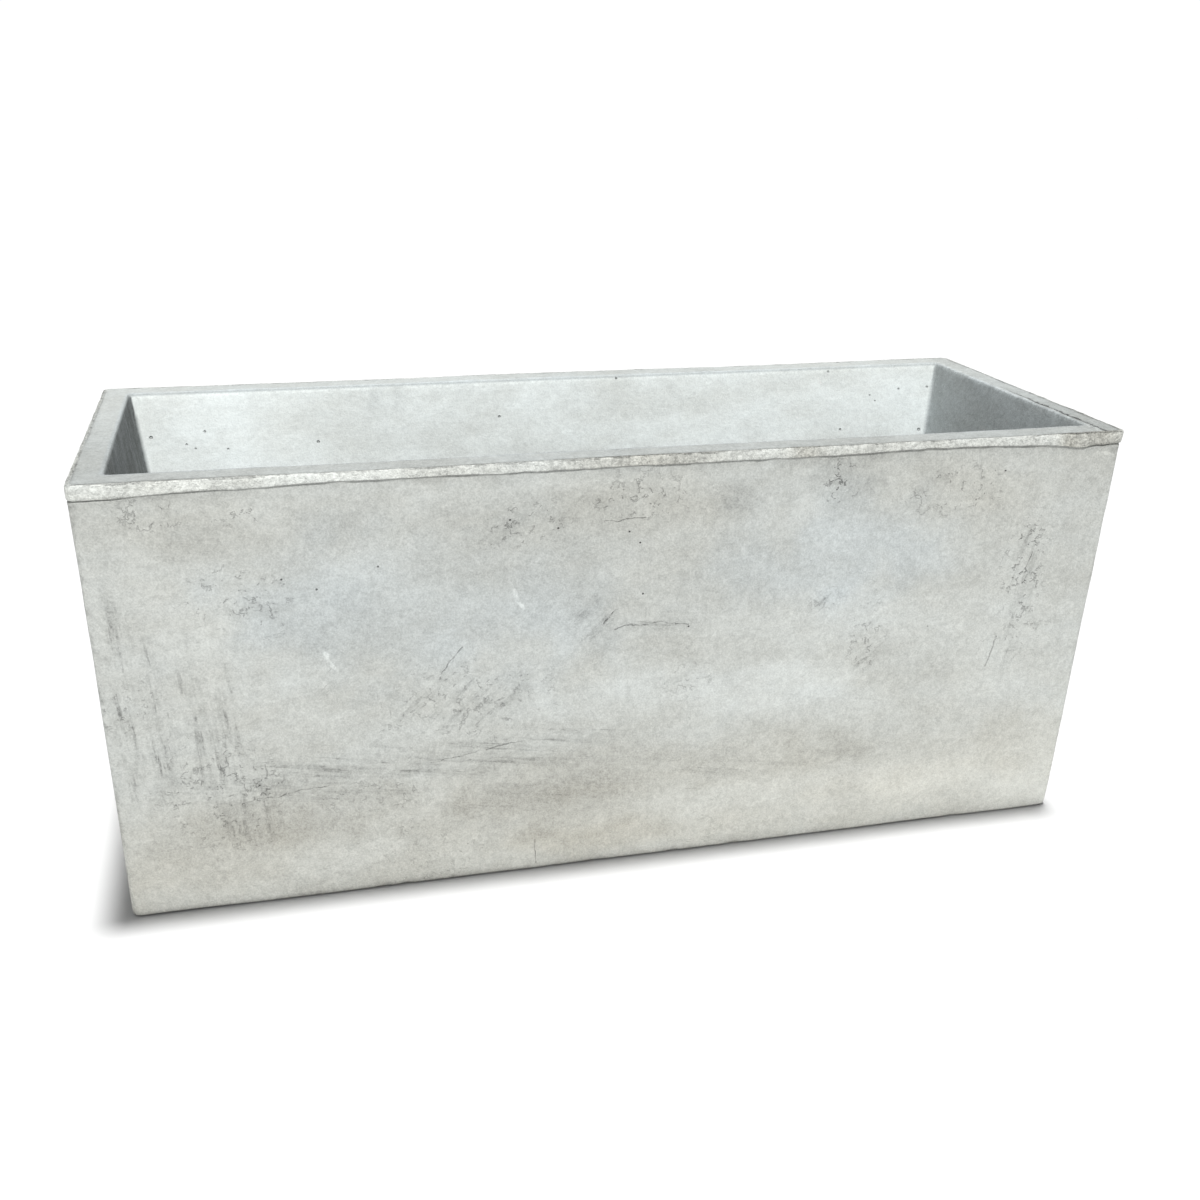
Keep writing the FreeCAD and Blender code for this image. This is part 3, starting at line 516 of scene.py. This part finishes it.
class Nodes:
    """Short ways to write one material's nodes. Places are object coordinates, in metres."""

    def __init__(self, name):
        self.material = bpy.data.materials.new(name)
        self.material.use_nodes = True
        self.tree = self.material.node_tree
        self.tree.nodes.clear()
        self.place = self.value("ShaderNodeTexCoord", {}, "Object")
        self.x, self.y, self.z = (self.value("ShaderNodeSeparateXYZ", {0: self.place}, k)
                                  for k in range(3))

    def add(self, kind, inputs=None, **settings):
        node = self.tree.nodes.new(kind)
        for name, value in settings.items():
            setattr(node, name, value)
        for name, value in (inputs or {}).items():
            if isinstance(value, Value):
                self.tree.links.new(value.socket, node.inputs[name])
            else:
                node.inputs[name].default_value = value
        return node

    def value(self, kind, inputs, which=0, **settings):
        """One output of a new node."""
        return Value(self, self.add(kind, inputs, **settings).outputs[which])

    def math(self, operation, a, b=0.0, clamp=False):
        return self.value("ShaderNodeMath", {0: a, 1: b}, operation=operation, use_clamp=clamp)

    def vector(self, operation, a, b=(0, 0, 0)):
        which = "Value" if operation in ("LENGTH", "DOT_PRODUCT") else "Vector"
        return self.value("ShaderNodeVectorMath", {0: a, 1: b}, which, operation=operation)

    def ramp(self, value, low, high, start=0.0, end=1.0):
        """Turns low..high into start..end, with soft ends."""
        return self.value("ShaderNodeMapRange", {0: value, 1: low, 2: high, 3: start, 4: end},
                          interpolation_type="SMOOTHSTEP")

    def noise(self, size, detail=3.0, stretch=(1, 1, 1), turn=0.0, shift=0.0, roughness=0.55):
        """Noise from 0 to 1 whose features are about size across, times stretch along each axis.
        turn is an angle in the plane of x and z."""
        place = self.place
        if turn:
            place = self.value("ShaderNodeVectorRotate", {"Vector": place, "Angle": turn},
                               rotation_type="Y_AXIS")
        scaled = self.value("ShaderNodeMapping", {
            "Vector": place, "Location": (shift, shift * 1.7, shift * 0.6),
            "Scale": tuple(0.5 / (size * s) for s in stretch)})
        return self.value("ShaderNodeTexNoise", {"Vector": scaled, "Scale": 1.0, "Detail": detail,
                                                 "Roughness": roughness}, "Fac")

    def cells(self, size, shift=0.0):
        """Distance to the nearest of scattered points, in cells, and a number that varies by cell."""
        place = self.vector("ADD", self.place, (shift, shift * 0.7, shift * 1.3))
        node = self.add("ShaderNodeTexVoronoi", {"Vector": place, "Scale": 1.0 / size})
        colour = Value(self, node.outputs["Color"])
        return (Value(self, node.outputs["Distance"]),
                self.value("ShaderNodeSeparateColor", {0: colour}))

    def mix(self, share, a, b):
        return self.value("ShaderNodeMix", {0: share, 6: a, 7: b}, 2, data_type="RGBA")

    def attribute(self, name):
        return self.value("ShaderNodeAttribute", {}, "Fac", attribute_name=name)

    def finish(self, colour, roughness, height, edge=0.0, **settings):
        """Ends the material in a Principled shader; height is the relief in metres, and edge the
        radius that sharp edges seem rounded to."""
        relief = {"Strength": 1.0, "Distance": 1.0, "Height": height}
        if edge:
            relief["Normal"] = self.value("ShaderNodeBevel", {"Radius": edge}, samples=4)
        shader = self.value("ShaderNodeBsdfPrincipled", {
            "Base Color": colour, "Roughness": roughness,
            "Normal": self.value("ShaderNodeBump", relief), **settings})
        self.add("ShaderNodeOutputMaterial", {"Surface": shader})
        return self.material


# Single scratches on the front: x and z of both ends, width
FRONT_SCRATCHES = (
    (-0.022, 0.2665, 0.016, 0.2695, 0.0008), (0.016, 0.2695, 0.052, 0.266, 0.0008),
    (-0.17, 0.262, -0.19, 0.233, 0.0007), (-0.19, 0.23, -0.192, 0.219, 0.001),
    (-0.036, 0.377, 0.002, 0.38, 0.0007), (-0.021, 0.286, -0.034, 0.272, 0.001),
    (-0.38, 0.115, -0.3, 0.125, 0.0005), (-0.2, 0.138, -0.11, 0.153, 0.0005),
    (0.392, 0.22, 0.384, 0.185, 0.001), (-0.098, 0.036, -0.098, 0.008, 0.0005),
)

# Pale ticks where the front was knocked, written likewise
FRONT_TICKS = (
    (-0.2975, 0.268, -0.29, 0.25, 0.003), (-0.121, 0.314, -0.113, 0.296, 0.003),
    (0.472, 0.417, 0.49, 0.415, 0.0022),
)

# Air holes: on the front (x, z) and on the inside of the back wall (x, depth under the rim)
FRONT_HOLES = ((-0.125, 0.385), (-0.08, 0.374), (-0.3, 0.33), (-0.33, 0.342), (-0.012, 0.366),
               (-0.001, 0.354), (0.004, 0.301), (0.372, 0.404), (-0.245, 0.348), (0.052, 0.262))
BACK_HOLES = ((-0.453, 0.048, 0.0022), (-0.397, 0.044, 0.0016), (-0.277, 0.061, 0.002),
              (-0.073, 0.042, 0.0017), (0.0655, 0.004, 0.0015), (0.33, 0.006, 0.0017),
              (0.423, 0.03, 0.0016), (0.461, 0.029, 0.0018), (0.347, 0.076, 0.0018),
              (0.452, 0.081, 0.0026), (-0.417, 0.057, 0.0014), (-0.408, 0.062, 0.0013),
              (-0.374, 0.064, 0.0014), (0.385, 0.036, 0.0012), (0.392, 0.043, 0.0012))


CONCRETE_TONE = 0.46                  # green of the plain concrete; red and blue follow from it
WARM_RED, WARM_BLUE, COOL_STEP = 0.977, 0.945, 0.028


class Concrete(Nodes):
    """Pale cast concrete, built up step by step. light is what is added to the plain tone, and cool
    turns it from warm grey to blue grey."""

    def __init__(self):
        super().__init__("cast_concrete")
        self.light, self.cool = self.attribute("light"), self.attribute("cool")
        self.lip, self.rim = self.attribute("lip"), self.attribute("rim")
        self.inside, self.back_inner = self.attribute("inside"), self.attribute("back_inner")
        wall_half = BASE_WIDTH / 2 - 0.012 + self.z * 0.07
        self.front = self.ramp(self.y + wall_half, 0.002, -0.002) * (1.0 - self.lip)
        self.clouds = self.noise(0.14, 3, (1.5, 1.5, 0.8))
        self.drifts = self.noise(0.045, 6, (1.6, 1.6, 0.8), shift=3.1, roughness=0.62)
        self.mottle = self.noise(0.014, 5, shift=7.7, roughness=0.68)
        self.breaks = self.noise(0.0045, 5, shift=4.4, roughness=0.72)
        self.dust = self.noise(0.0034, 4, shift=1.3, roughness=0.75)
        self.grit = self.noise(0.0020, 3, shift=6.1, roughness=0.8)
        self.grain = self.noise(0.0009, 2, shift=5.2, roughness=0.8)
        shake = self.value("ShaderNodeTexNoise", {"Vector": self.place, "Scale": 60.0,
                                                  "Detail": 3.0}, "Color")
        shake = self.vector("SUBTRACT", shake, (0.5, 0.5, 0.5))
        self.shaken = self.vector("ADD", self.place,
                                  self.vector("MULTIPLY", shake, (0.009, 0.0, 0.009)))

    def reach(self, vector):
        """Length of a vector as seen from the front."""
        return self.vector("LENGTH", self.vector("MULTIPLY", vector, (1, 0, 1)))

    def stroke(self, x1, z1, x2, z2, width):
        """Thin shaky line between two places on an upright face."""
        run = Vector((x2 - x1, 0, z2 - z1))
        offset = self.vector("SUBTRACT", self.shaken, (x1, 0, z1))
        along = self.vector("DOT_PRODUCT", offset, tuple(run / run.length_squared))
        along = self.math("ADD", along, 0.0, clamp=True)
        on_line = self.value("ShaderNodeVectorMath", {0: tuple(run), "Scale": along},
                             operation="SCALE")
        return self.ramp(self.reach(self.vector("SUBTRACT", offset, on_line)), width, width * 0.3)

    def hole(self, x, z, radius, full):
        """Round hole at a place on an upright face; full is the radius within which it is full."""
        return self.ramp(self.reach(self.vector("SUBTRACT", self.place, (x, 0, z))), radius, full)

    def cover_with_clouds(self):
        """Clouds, drifts, mottling, dust and grain on every face, and a warmer band low down."""
        for texture, low, high, darkest, palest in (
                (self.clouds, 0.25, 0.75, -0.030, 0.030), (self.drifts, 0.28, 0.72, -0.032, 0.028),
                (self.mottle, 0.28, 0.72, -0.022, 0.022), (self.dust, 0.27, 0.73, -0.048, 0.042),
                (self.grain, 0.28, 0.72, -0.055, 0.055)):
            self.light += self.ramp(texture, low, high, darkest, palest)
        low_down = self.ramp(self.z + self.mottle * 0.04, 0.17, 0.08) * (1.0 - self.inside)
        self.cool += self.ramp(self.drifts, 0.25, 0.75, -0.5, 0.5)
        self.cool -= low_down * 0.9
        self.light -= low_down * 0.012

    def mark_with_trowel(self):
        """Smears and broken scratches within patches, worm-like pits, and single scratches."""
        scored, smeared = 0.0, 0.0
        for name, lean in MARK_LEANS.items():
            strokes = self.noise(0.0036, 5, (1, 1, 16), turn=math.radians(lean), shift=lean / 9,
                                 roughness=0.70)
            where = self.attribute(name)
            smeared += where * self.ramp(strokes, 0.40, 0.64)
            scored += where * self.ramp(strokes, 0.555, 0.65)
        scored *= self.ramp(self.breaks, 0.42, 0.60, 0.15, 0.9)
        faint = self.ramp(self.noise(0.06, 3, shift=8.8), 0.55, 0.75, 0.0, 0.55)
        self.pits = self.attribute("pits") + faint * (1.0 - self.lip)
        worms = self.math("ABSOLUTE", self.noise(0.0060, 3, shift=6.6, roughness=0.6) - 0.5)
        worms = self.ramp(worms, 0.034, 0.012)
        worms *= self.ramp(self.noise(0.0050, 3, shift=0.9), 0.53, 0.57)
        scored += worms * self.pits * 1.05
        gaps = self.ramp(self.breaks, 0.40, 0.58, 0.1, 1.0) * self.front
        for scratch in FRONT_SCRATCHES:
            scored += self.stroke(*scratch) * gaps
        self.scored = self.math("MINIMUM", scored * (1.0 - self.inside), 1.3)
        self.smeared = self.math("MINIMUM", smeared, 1.3)

    def knock(self):
        """Pale ticks on the front."""
        ticks = 0.0
        for tick in FRONT_TICKS:
            ticks += self.stroke(*tick)
        self.ticks = ticks * self.front * self.ramp(self.breaks, 0.35, 0.60)

    def pierce(self):
        """Air holes: large and small ones scattered everywhere, and listed ones."""
        distance, kind = self.cells(0.034, 0.37)
        size = self.ramp(kind, 0.80, 1.0, 0.0, 0.040)
        pitted = self.math("DIVIDE", size - distance, 0.02, clamp=True)
        distance, kind = self.cells(0.0085, 1.9)
        size = self.ramp(kind, 0.60, 1.0, 0.0, 0.13) * (0.25 + self.pits)
        self.specks = self.math("DIVIDE", size - distance, 0.04, clamp=True)
        for x, z in FRONT_HOLES:
            pitted += self.hole(x, z, 0.0012, 0.0004) * self.front
        for x, depth, radius in BACK_HOLES:
            pitted += self.hole(x, HEIGHT - depth, radius, radius * 0.5) * self.back_inner
        self.pitted = self.math("MINIMUM", pitted, 1.0)

    def weather_the_lip(self):
        """The pale gritty lip, dirtier to the right, and the shade under it."""
        self.worn = self.ramp(self.noise(0.030, 4, shift=9.9), 0.40, 0.62)
        self.light += self.lip * self.ramp(self.grit, 0.32, 0.68, 0.02, 0.24)
        self.light -= self.lip * (self.worn * 0.08 + self.ramp(self.x, -0.45, 0.05, -0.03, 0.04))
        shade = self.attribute("under_lip") * self.ramp(self.breaks, 0.25, 0.7, 0.7, 1.2)
        self.light -= shade * 0.10

    def weather_the_rim(self):
        """The smooth rim, paler to the back, with its cracks and a pale strip at the right end."""
        self.light += self.rim * self.ramp(self.y, -0.17, 0.17, -0.045, 0.055)
        self.light -= self.rim * self.ramp(self.x, 0.462, 0.474, 0.0, 0.045)
        self.cool += self.rim * 0.9
        across = self.x - (LENGTH / 2 - RIM_END) + self.ramp(self.breaks, 0.3, 0.7, -0.002, 0.002)
        strip = self.ramp(across, 0.0055, 0.0040) * self.ramp(across, -0.004, 0.0)
        self.light += strip * self.rim * self.ramp(self.grit, 0.35, 0.65, -0.02, 0.14)
        split = self.ramp(self.math("ABSOLUTE", across - 0.0070), 0.0017, 0.0004)
        split *= self.ramp(self.y, 0.03, -0.03) * self.rim
        gap = self.attribute("outer_gap") + self.ramp(self.worn, 0.0, 1.0, -0.0007, 0.0009)
        gap += self.ramp(self.breaks, 0.3, 0.7, -0.0012, 0.0012)
        crack = self.ramp(self.math("ABSOLUTE", gap - 0.0018), 0.0019, 0.0004)
        crack *= self.ramp(self.noise(0.020, 4, shift=1.4), 0.30, 0.48)
        self.crack = self.math("MAXIMUM", crack, split)

    def paint_inside_tone_and_light(self):
        """Painted light on the mottled inner back wall; painted shade on the streaked left end and the
        right end.
        """
        # painted light: the whole inner back wall made paler
        self.light += self.back_inner * 0.28
        self.cool += self.inside * 1.9 + self.back_inner * -0.8
        self.light += self.back_inner * self.ramp(self.drifts, 0.35, 0.65, -0.035, 0.035)
        brim = self.ramp(self.z, HEIGHT - 0.010, HEIGHT - 0.004)
        self.light += self.back_inner * (brim * self.ramp(self.grit, 0.42, 0.62, 0.0, 0.10))
        # painted light: the inner back wall paler still towards its left corner
        self.light += self.back_inner * self.ramp(self.x, -0.20, -0.40, 0.0, 0.10)
        # painted shade on the left end, streaked
        streaks = self.ramp(self.noise(0.006, 3, (1, 1, 12), shift=2.7), 0.35, 0.65, 0.85, 1.15)
        self.light -= self.attribute("left_inner") * streaks * 0.250
        # painted shade on the right end, darker towards the front
        self.light -= self.attribute("right_inner") * self.ramp(self.y, 0.15, 0.0, 0.0, 0.05)

    def darken_the_marks(self):
        """Takes the tone of every groove, crack, mark and hole away, and adds the pale ticks. The
        darkening in grooves, cracks, pits and holes is painted shade in those recesses.
        """
        # painted shade in the groove under the lip and in the rim's crack and split
        self.light -= self.attribute("groove") * 0.09
        self.light -= self.attribute("ragged") * self.ramp(self.breaks, 0.45, 0.62, 0.0, 0.06)
        # painted shade in the cracks, pits and holes; scratches and smears darker in tone
        for mark, depth in ((self.crack, 0.20), (self.scored, 0.15), (self.smeared, 0.090),
                            (self.pitted, 0.30), (self.specks, 0.18)):
            self.light -= mark * depth
        self.light += self.ticks * 0.16

    def wear_the_edges_and_shade_the_foot(self):
        """Chipped upright edges, and a foot darkened with painted contact shade and some soiling, most
        of all at the left.
        """
        chips = self.ramp(self.noise(0.005, 5, shift=3.7, roughness=0.7), 0.40, 0.60, -0.09, 0.06)
        self.light += self.attribute("corner") * chips
        # painted contact shade along the foot, with some soiling, most of all at the left
        foot = self.ramp(self.z + self.breaks * 0.010, 0.012, 0.006)
        self.light -= foot * ((1.0 - self.inside) * self.ramp(self.x, -0.1, 0.25, 0.13, 0.02))

    def colour(self):
        value, cool = self.light + CONCRETE_TONE, self.cool * COOL_STEP
        return self.value("ShaderNodeCombineColor", {
            0: value * (WARM_RED - cool * 0.75), 1: value, 2: value * (WARM_BLUE + cool)})

    def relief(self):
        """Height of the surface in metres: each texture and mark times its own height or depth."""
        lumps = self.noise(0.0042, 4, shift=2.9, roughness=0.75)
        height = self.lip * (lumps * 0.0028 + self.grit * 0.0010)
        for texture, rise in ((self.drifts, 0.0012), (self.mottle, 0.0008), (self.dust, 0.00045),
                              (self.grain, 0.00016), (self.scored, -0.0008), (self.pitted, -0.0016),
                              (self.specks, -0.0008), (self.crack, -0.0008)):
            height += texture * rise
        return height


def concrete():
    """The trough's concrete, from its clouds to its worn edges."""
    c = Concrete()
    c.cover_with_clouds()
    c.mark_with_trowel()
    c.knock()
    c.pierce()
    c.weather_the_lip()
    c.weather_the_rim()
    c.paint_inside_tone_and_light()
    c.darken_the_marks()
    c.wear_the_edges_and_shade_the_foot()
    roughness = c.ramp(c.mottle, 0.2, 0.8, 0.78, 0.92)
    return c.finish(c.colour(), roughness, c.relief(), **{"Specular IOR Level": 0.3})


def plastic(name, colour, roughness, texture, dust, streaks=0.0, pimples=0.0):
    """Moulded plastic: a fine texture, faint flow marks, scuffs and dust, and a grid of pimples."""
    n = Nodes(name)
    fine = n.noise(0.0006, 2, roughness=0.7)
    flow = n.noise(0.05, 4, (2.0, 2.0, 0.5), shift=2.0)
    scuffs = n.ramp(n.noise(0.0016, 4, (9, 1, 1), shift=5.0, roughness=0.7), 0.58, 0.72)
    cross = n.ramp(n.noise(0.0013, 4, (1, 11, 1), shift=6.3, roughness=0.7), 0.62, 0.74)
    scuffs = n.math("MAXIMUM", scuffs, cross)
    film = n.ramp(n.noise(0.009, 6, shift=1.0, roughness=0.72), 0.40, 0.75)
    base = n.mix(n.ramp(flow, 0.3, 0.7), tuple(c * 0.88 for c in colour) + (1.0,),
                 tuple(min(c * 1.10, 1.0) for c in colour) + (1.0,))
    pale = tuple(min(c * 0.55 + 0.24, 1.0) for c in colour) + (1.0,)
    base = n.mix(scuffs * 0.30, base, pale)
    base = n.mix(film * dust, base, (0.42, 0.41, 0.38, 1.0))
    if streaks:
        lines = n.noise(0.002, 3, (1, 1, 40), shift=8.0)
        base = n.mix(n.ramp(lines, 0.5, 0.7) * streaks, base, pale)
    gloss = n.ramp(flow, 0.2, 0.8, roughness - 0.06, roughness + 0.06) + (film + scuffs) * 0.16
    height = fine * texture + scuffs * -0.00004
    if pimples:
        dots = n.value("ShaderNodeTexVoronoi", {"Vector": n.place, "Scale": 1.0 / pimples,
                                                "Randomness": 0.0}, "Distance")
        height += n.ramp(dots, 0.32, 0.18, 0.0, 0.00035)
    return n.finish(base, gloss, height, 0.0006)


def rubber():
    """Dull black seal rubber with a bloom."""
    n = Nodes("seal_rubber")
    bloom = n.noise(0.006, 5, roughness=0.7)
    fine = n.noise(0.0005, 2)
    colour = n.mix(n.ramp(bloom, 0.35, 0.75), (0.012, 0.012, 0.013, 1), (0.045, 0.044, 0.043, 1))
    return n.finish(colour, n.ramp(bloom, 0.3, 0.7, 0.62, 0.86), fine * 0.00003)


def clear_plastic():
    """Clear moulded gauge window, faintly tinted, with fine scratches."""
    n = Nodes("clear_plastic")
    scratches = n.ramp(n.noise(0.0010, 4, (1, 1, 14), roughness=0.7), 0.62, 0.72)
    haze = n.noise(0.008, 4, shift=2.0)
    colour = n.mix(n.ramp(haze, 0.3, 0.7), (0.93, 0.96, 0.96, 1), (0.97, 0.98, 0.97, 1))
    gloss = n.ramp(haze, 0.3, 0.7, 0.03, 0.09) + scratches * 0.25
    return n.finish(colour, gloss, scratches * -0.00003, **{"IOR": 1.49, "Transmission Weight": 1.0})


def foam():
    """Closed cell float foam: tiny cells and a cut skin."""
    n = Nodes("float_foam")
    distance, _ = n.cells(0.0016)
    patchy = n.noise(0.01, 4)
    colour = n.mix(n.ramp(patchy, 0.3, 0.7), (0.78, 0.74, 0.62, 1), (0.88, 0.86, 0.78, 1))
    colour = n.mix(n.ramp(distance, 0.45, 0.1) * 0.25, colour, (0.5, 0.46, 0.38, 1))
    return n.finish(colour, n.ramp(patchy, 0.3, 0.7, 0.7, 0.85), n.ramp(distance, 0.1, 0.5) * 0.0002)


def steel():
    """Bright drawn pin steel with fine lengthwise lines and a little staining."""
    n = Nodes("pin_steel")
    lines = n.noise(0.0004, 3, (30, 1, 1))
    stain = n.ramp(n.noise(0.004, 4, shift=2.0), 0.5, 0.7)
    colour = n.mix(stain * 0.5, (0.62, 0.62, 0.61, 1), (0.30, 0.24, 0.18, 1))
    return n.finish(colour, n.ramp(lines, 0.3, 0.7, 0.22, 0.40), lines * 0.00001, Metallic=1.0)


# Colour, roughness, texture, dust, streaks and spacing of pimples, as plastic() takes them
PLASTICS = {
    "liner_plastic": ((0.030, 0.032, 0.034), 0.36, 0.00006, 0.20, 0.12),
    "platform_plastic": ((0.050, 0.053, 0.056), 0.45, 0.00008, 0.15, 0.0, 0.0045),
    "cup_plastic": ((0.028, 0.085, 0.048), 0.42, 0.00006, 0.12),
    "fitting_plastic": ((0.110, 0.120, 0.130), 0.40, 0.00005, 0.10),
    "pipe_plastic": ((0.36, 0.37, 0.37), 0.34, 0.00003, 0.15, 0.10),
    "cap_plastic": ((0.045, 0.050, 0.055), 0.38, 0.00008, 0.10),
    "marker_plastic": ((0.62, 0.035, 0.022), 0.30, 0.00002, 0.03),
}
KIT_MATERIALS = {name: plastic(name, *settings) for name, settings in PLASTICS.items()}
KIT_MATERIALS.update(seal_rubber=rubber(), clear_plastic=clear_plastic(), float_foam=foam(),
                     pin_steel=steel())


def dress_the_kit():
    for entry in frame["record"]["subparts"]:
        if entry["material_slot"] in KIT_MATERIALS:
            thing = frame["nodes"][entry["node"]]
            thing.data.materials.clear()
            thing.data.materials.append(KIT_MATERIALS[entry["material_slot"]])


def add_moulding(name, parts, body, slot):
    """One piece from closed strips of points; each part is a list of loops of equal length."""
    verts, faces = [], []
    for loops, closed in parts:
        start, size, count = len(verts), len(loops[0]), len(loops)
        verts += [point for loop in loops for point in loop]
        for k in range(count if closed else count - 1):
            low, high = start + k * size, start + (k + 1) % count * size
            faces += [(low + j, low + (j + 1) % size, high + (j + 1) % size, high + j)
                      for j in range(size)]
        if not closed:
            faces.append(tuple(range(start + size - 1, start - 1, -1)))
            faces.append(tuple(range(start + (count - 1) * size, start + count * size)))
    mesh = bpy.data.meshes.new(name)
    mesh.from_pydata(verts, [], faces)
    tidy = bmesh.new()
    tidy.from_mesh(mesh)
    bmesh.ops.recalc_face_normals(tidy, faces=tidy.faces)
    tidy.to_mesh(mesh)
    tidy.free()
    mesh.polygons.foreach_set("use_smooth", [True] * len(mesh.polygons))
    mesh.set_sharp_from_angle(angle=math.radians(40))
    mesh.materials.append(KIT_MATERIALS[slot])
    thing = bpy.data.objects.new(name, mesh)
    bpy.context.scene.collection.objects.link(thing)
    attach(thing, body)


def bead(centre, radius, z, half_width, height, spans=96):
    """Round backed ring that stands up from z, sunk a little into what is under it."""
    section = [(half_width, -0.0003)]
    for k in range(7):
        turn = math.radians(180 * k / 6)
        section.append((half_width * math.cos(turn), height * math.sin(turn)))
    section.append((-half_width, -0.0003))
    loops = []
    for k in range(spans):
        turn = math.tau * k / spans
        loops.append([(centre.x + (radius + r) * math.cos(turn),
                       centre.y + (radius + r) * math.sin(turn), z + up) for r, up in section])
    return loops, True


def drop(centre, z, size, height):
    """Raised water drop, its point towards the hinge."""
    loops = []
    for up, share in ((-0.0003, 1.0), (height * 0.6, 0.98), (height, 0.88)):
        loop = []
        for k in range(48):
            turn = math.tau * k / 48
            across = math.sin(turn) * abs(math.sin(turn / 2)) ** 1.4
            loop.append((centre.x + size * 0.85 * share * across,
                         centre.y + size * share * math.cos(turn), z + up))
        loops.append(loop)
    return loops, False


def make_mouldings():
    """Beads and a drop on the lid, level rings on the gauge and a bead round each cup's flange."""
    low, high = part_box("fill_shaft")
    shaft = (low + high) / 2
    lid_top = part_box("shaft_lid")[0].z + 0.008
    add_moulding("lid_mouldings", [bead(shaft, 0.0300, lid_top, 0.0010, 0.0008),
                                   bead(shaft, 0.0205, lid_top, 0.0008, 0.0006),
                                   drop(shaft, lid_top, 0.011, 0.0007)], "lid", "cap_plastic")
    low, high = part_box("gauge_window")
    gauge, radius = (low + high) / 2, (high.x - low.x) / 2
    marker_low, marker_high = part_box("level_marker")
    marker = (marker_low.z + marker_high.z) / 2
    for name, z, slot in (("low_level_ring", marker + 0.004, "marker_plastic"),
                          ("high_level_ring", marker + 0.050, "cap_plastic")):
        add_moulding(name, [bead(gauge, radius + 0.0002, z, 0.0006, 0.0009)], "platform", slot)
    for k in range(1, 5):
        low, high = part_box(f"wick_cup_{k}")
        add_moulding(f"cup_bead_{k}", [bead((low + high) / 2, (high.x - low.x) / 2 - 0.0016, high.z,
                                            0.0011, 0.0010)], f"cup_{k}", "cup_plastic")


# ---- stage ----

def make_floor():
    """Wide pale floor."""
    half = 30.0
    mesh = bpy.data.meshes.new("floor")
    mesh.from_pydata([(-half, -half, 0), (half, -half, 0), (half, half, 0), (-half, half, 0)], [],
                     [(0, 1, 2, 3)])
    thing = bpy.data.objects.new("floor", mesh)
    thing.location.z = -0.0002
    bpy.context.scene.collection.objects.link(thing)
    n = Nodes("studio_floor")
    tone = n.noise(0.4, 3)
    colour = n.mix(tone, (0.59, 0.59, 0.59, 1), (0.61, 0.61, 0.61, 1))
    mesh.materials.append(n.finish(colour, n.ramp(tone, 0.3, 0.7, 0.88, 0.94), tone * 0.00001,
                                   **{"Specular IOR Level": 0.1}))
    return thing


def distant_lamp(name, towards, spread, strength, things):
    """Lamp far off in one direction, with soft shadows, that lights only the given things."""
    lamp = bpy.data.lights.new(name, "SUN")
    lamp.angle, lamp.energy = math.radians(spread), strength
    thing = bpy.data.objects.new(name, lamp)
    thing.rotation_euler = Vector(towards).to_track_quat("Z", "Y").to_euler()
    bpy.context.scene.collection.objects.link(thing)
    lit = bpy.data.collections.new(name)
    for each in things:
        lit.objects.link(each)
    thing.light_linking.receiver_collection = lit


def make_surround():
    """Studio surround: a white band all round at the horizon, dimmer overhead."""
    world = bpy.data.worlds.new("surround")
    world.use_nodes = True
    tree = world.node_tree
    place = tree.nodes.new("ShaderNodeTexCoord")
    split = tree.nodes.new("ShaderNodeSeparateXYZ")
    fall = tree.nodes.new("ShaderNodeMapRange")
    fall.interpolation_type = "SMOOTHSTEP"
    for socket, value in zip(fall.inputs[1:5], (0.12, 0.35, 1.05, 0.35)):
        socket.default_value = value
    tree.links.new(place.outputs["Generated"], split.inputs[0])
    tree.links.new(split.outputs[2], fall.inputs[0])
    tree.links.new(fall.outputs[0], tree.nodes["Background"].inputs[1])
    tree.nodes["Background"].inputs[0].default_value = (0.985, 0.995, 1.0, 1.0)
    bpy.context.scene.world = world


def make_lights(floor):
    """Soft key from the front left on the planter, a lamp straight above the floor, and a surround."""
    planter = [thing for thing in bpy.context.scene.objects
               if thing.type == "MESH" and thing is not floor]
    distant_lamp("key", (-0.035, -0.499, 0.866), 7, 1.2 * math.pi, planter)
    distant_lamp("overhead", (0.032, -0.034, 1.0), 5, 1.45 * math.pi, [floor])
    make_surround()


def make_camera():
    """Camera in front of the left half, a little above the rim, turned to the right."""
    azimuth, elevation, roll = math.radians(-14.627), math.radians(19.621), math.radians(0.865)
    forward = Vector((-math.sin(azimuth) * math.cos(elevation),
                      math.cos(azimuth) * math.cos(elevation), -math.sin(elevation)))
    right = forward.cross(Vector((0, 0, 1))).normalized()
    up = right.cross(forward)
    tilted_right = math.cos(roll) * right + math.sin(roll) * up
    tilted_up = math.cos(roll) * up - math.sin(roll) * right
    camera = bpy.data.cameras.new("camera")
    camera.sensor_width, camera.lens = 36.0, 41.08
    camera.shift_x, camera.shift_y = -0.0044, -0.028
    thing = bpy.data.objects.new("camera", camera)
    turn = Matrix((tilted_right, tilted_up, -forward)).transposed().to_4x4()
    thing.matrix_world = Matrix.Translation((-0.3397, -1.3543, 0.7637)) @ turn
    bpy.context.scene.collection.objects.link(thing)
    bpy.context.scene.camera = thing
    bpy.context.scene.view_settings.view_transform = "Standard"


make_camera()
trough = make_trough()
trough.data.materials.clear()
trough.data.materials.append(concrete())
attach(trough, "trough")
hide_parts("trough_shell")
dress_the_kit()
make_mouldings()
make_lights(make_floor())
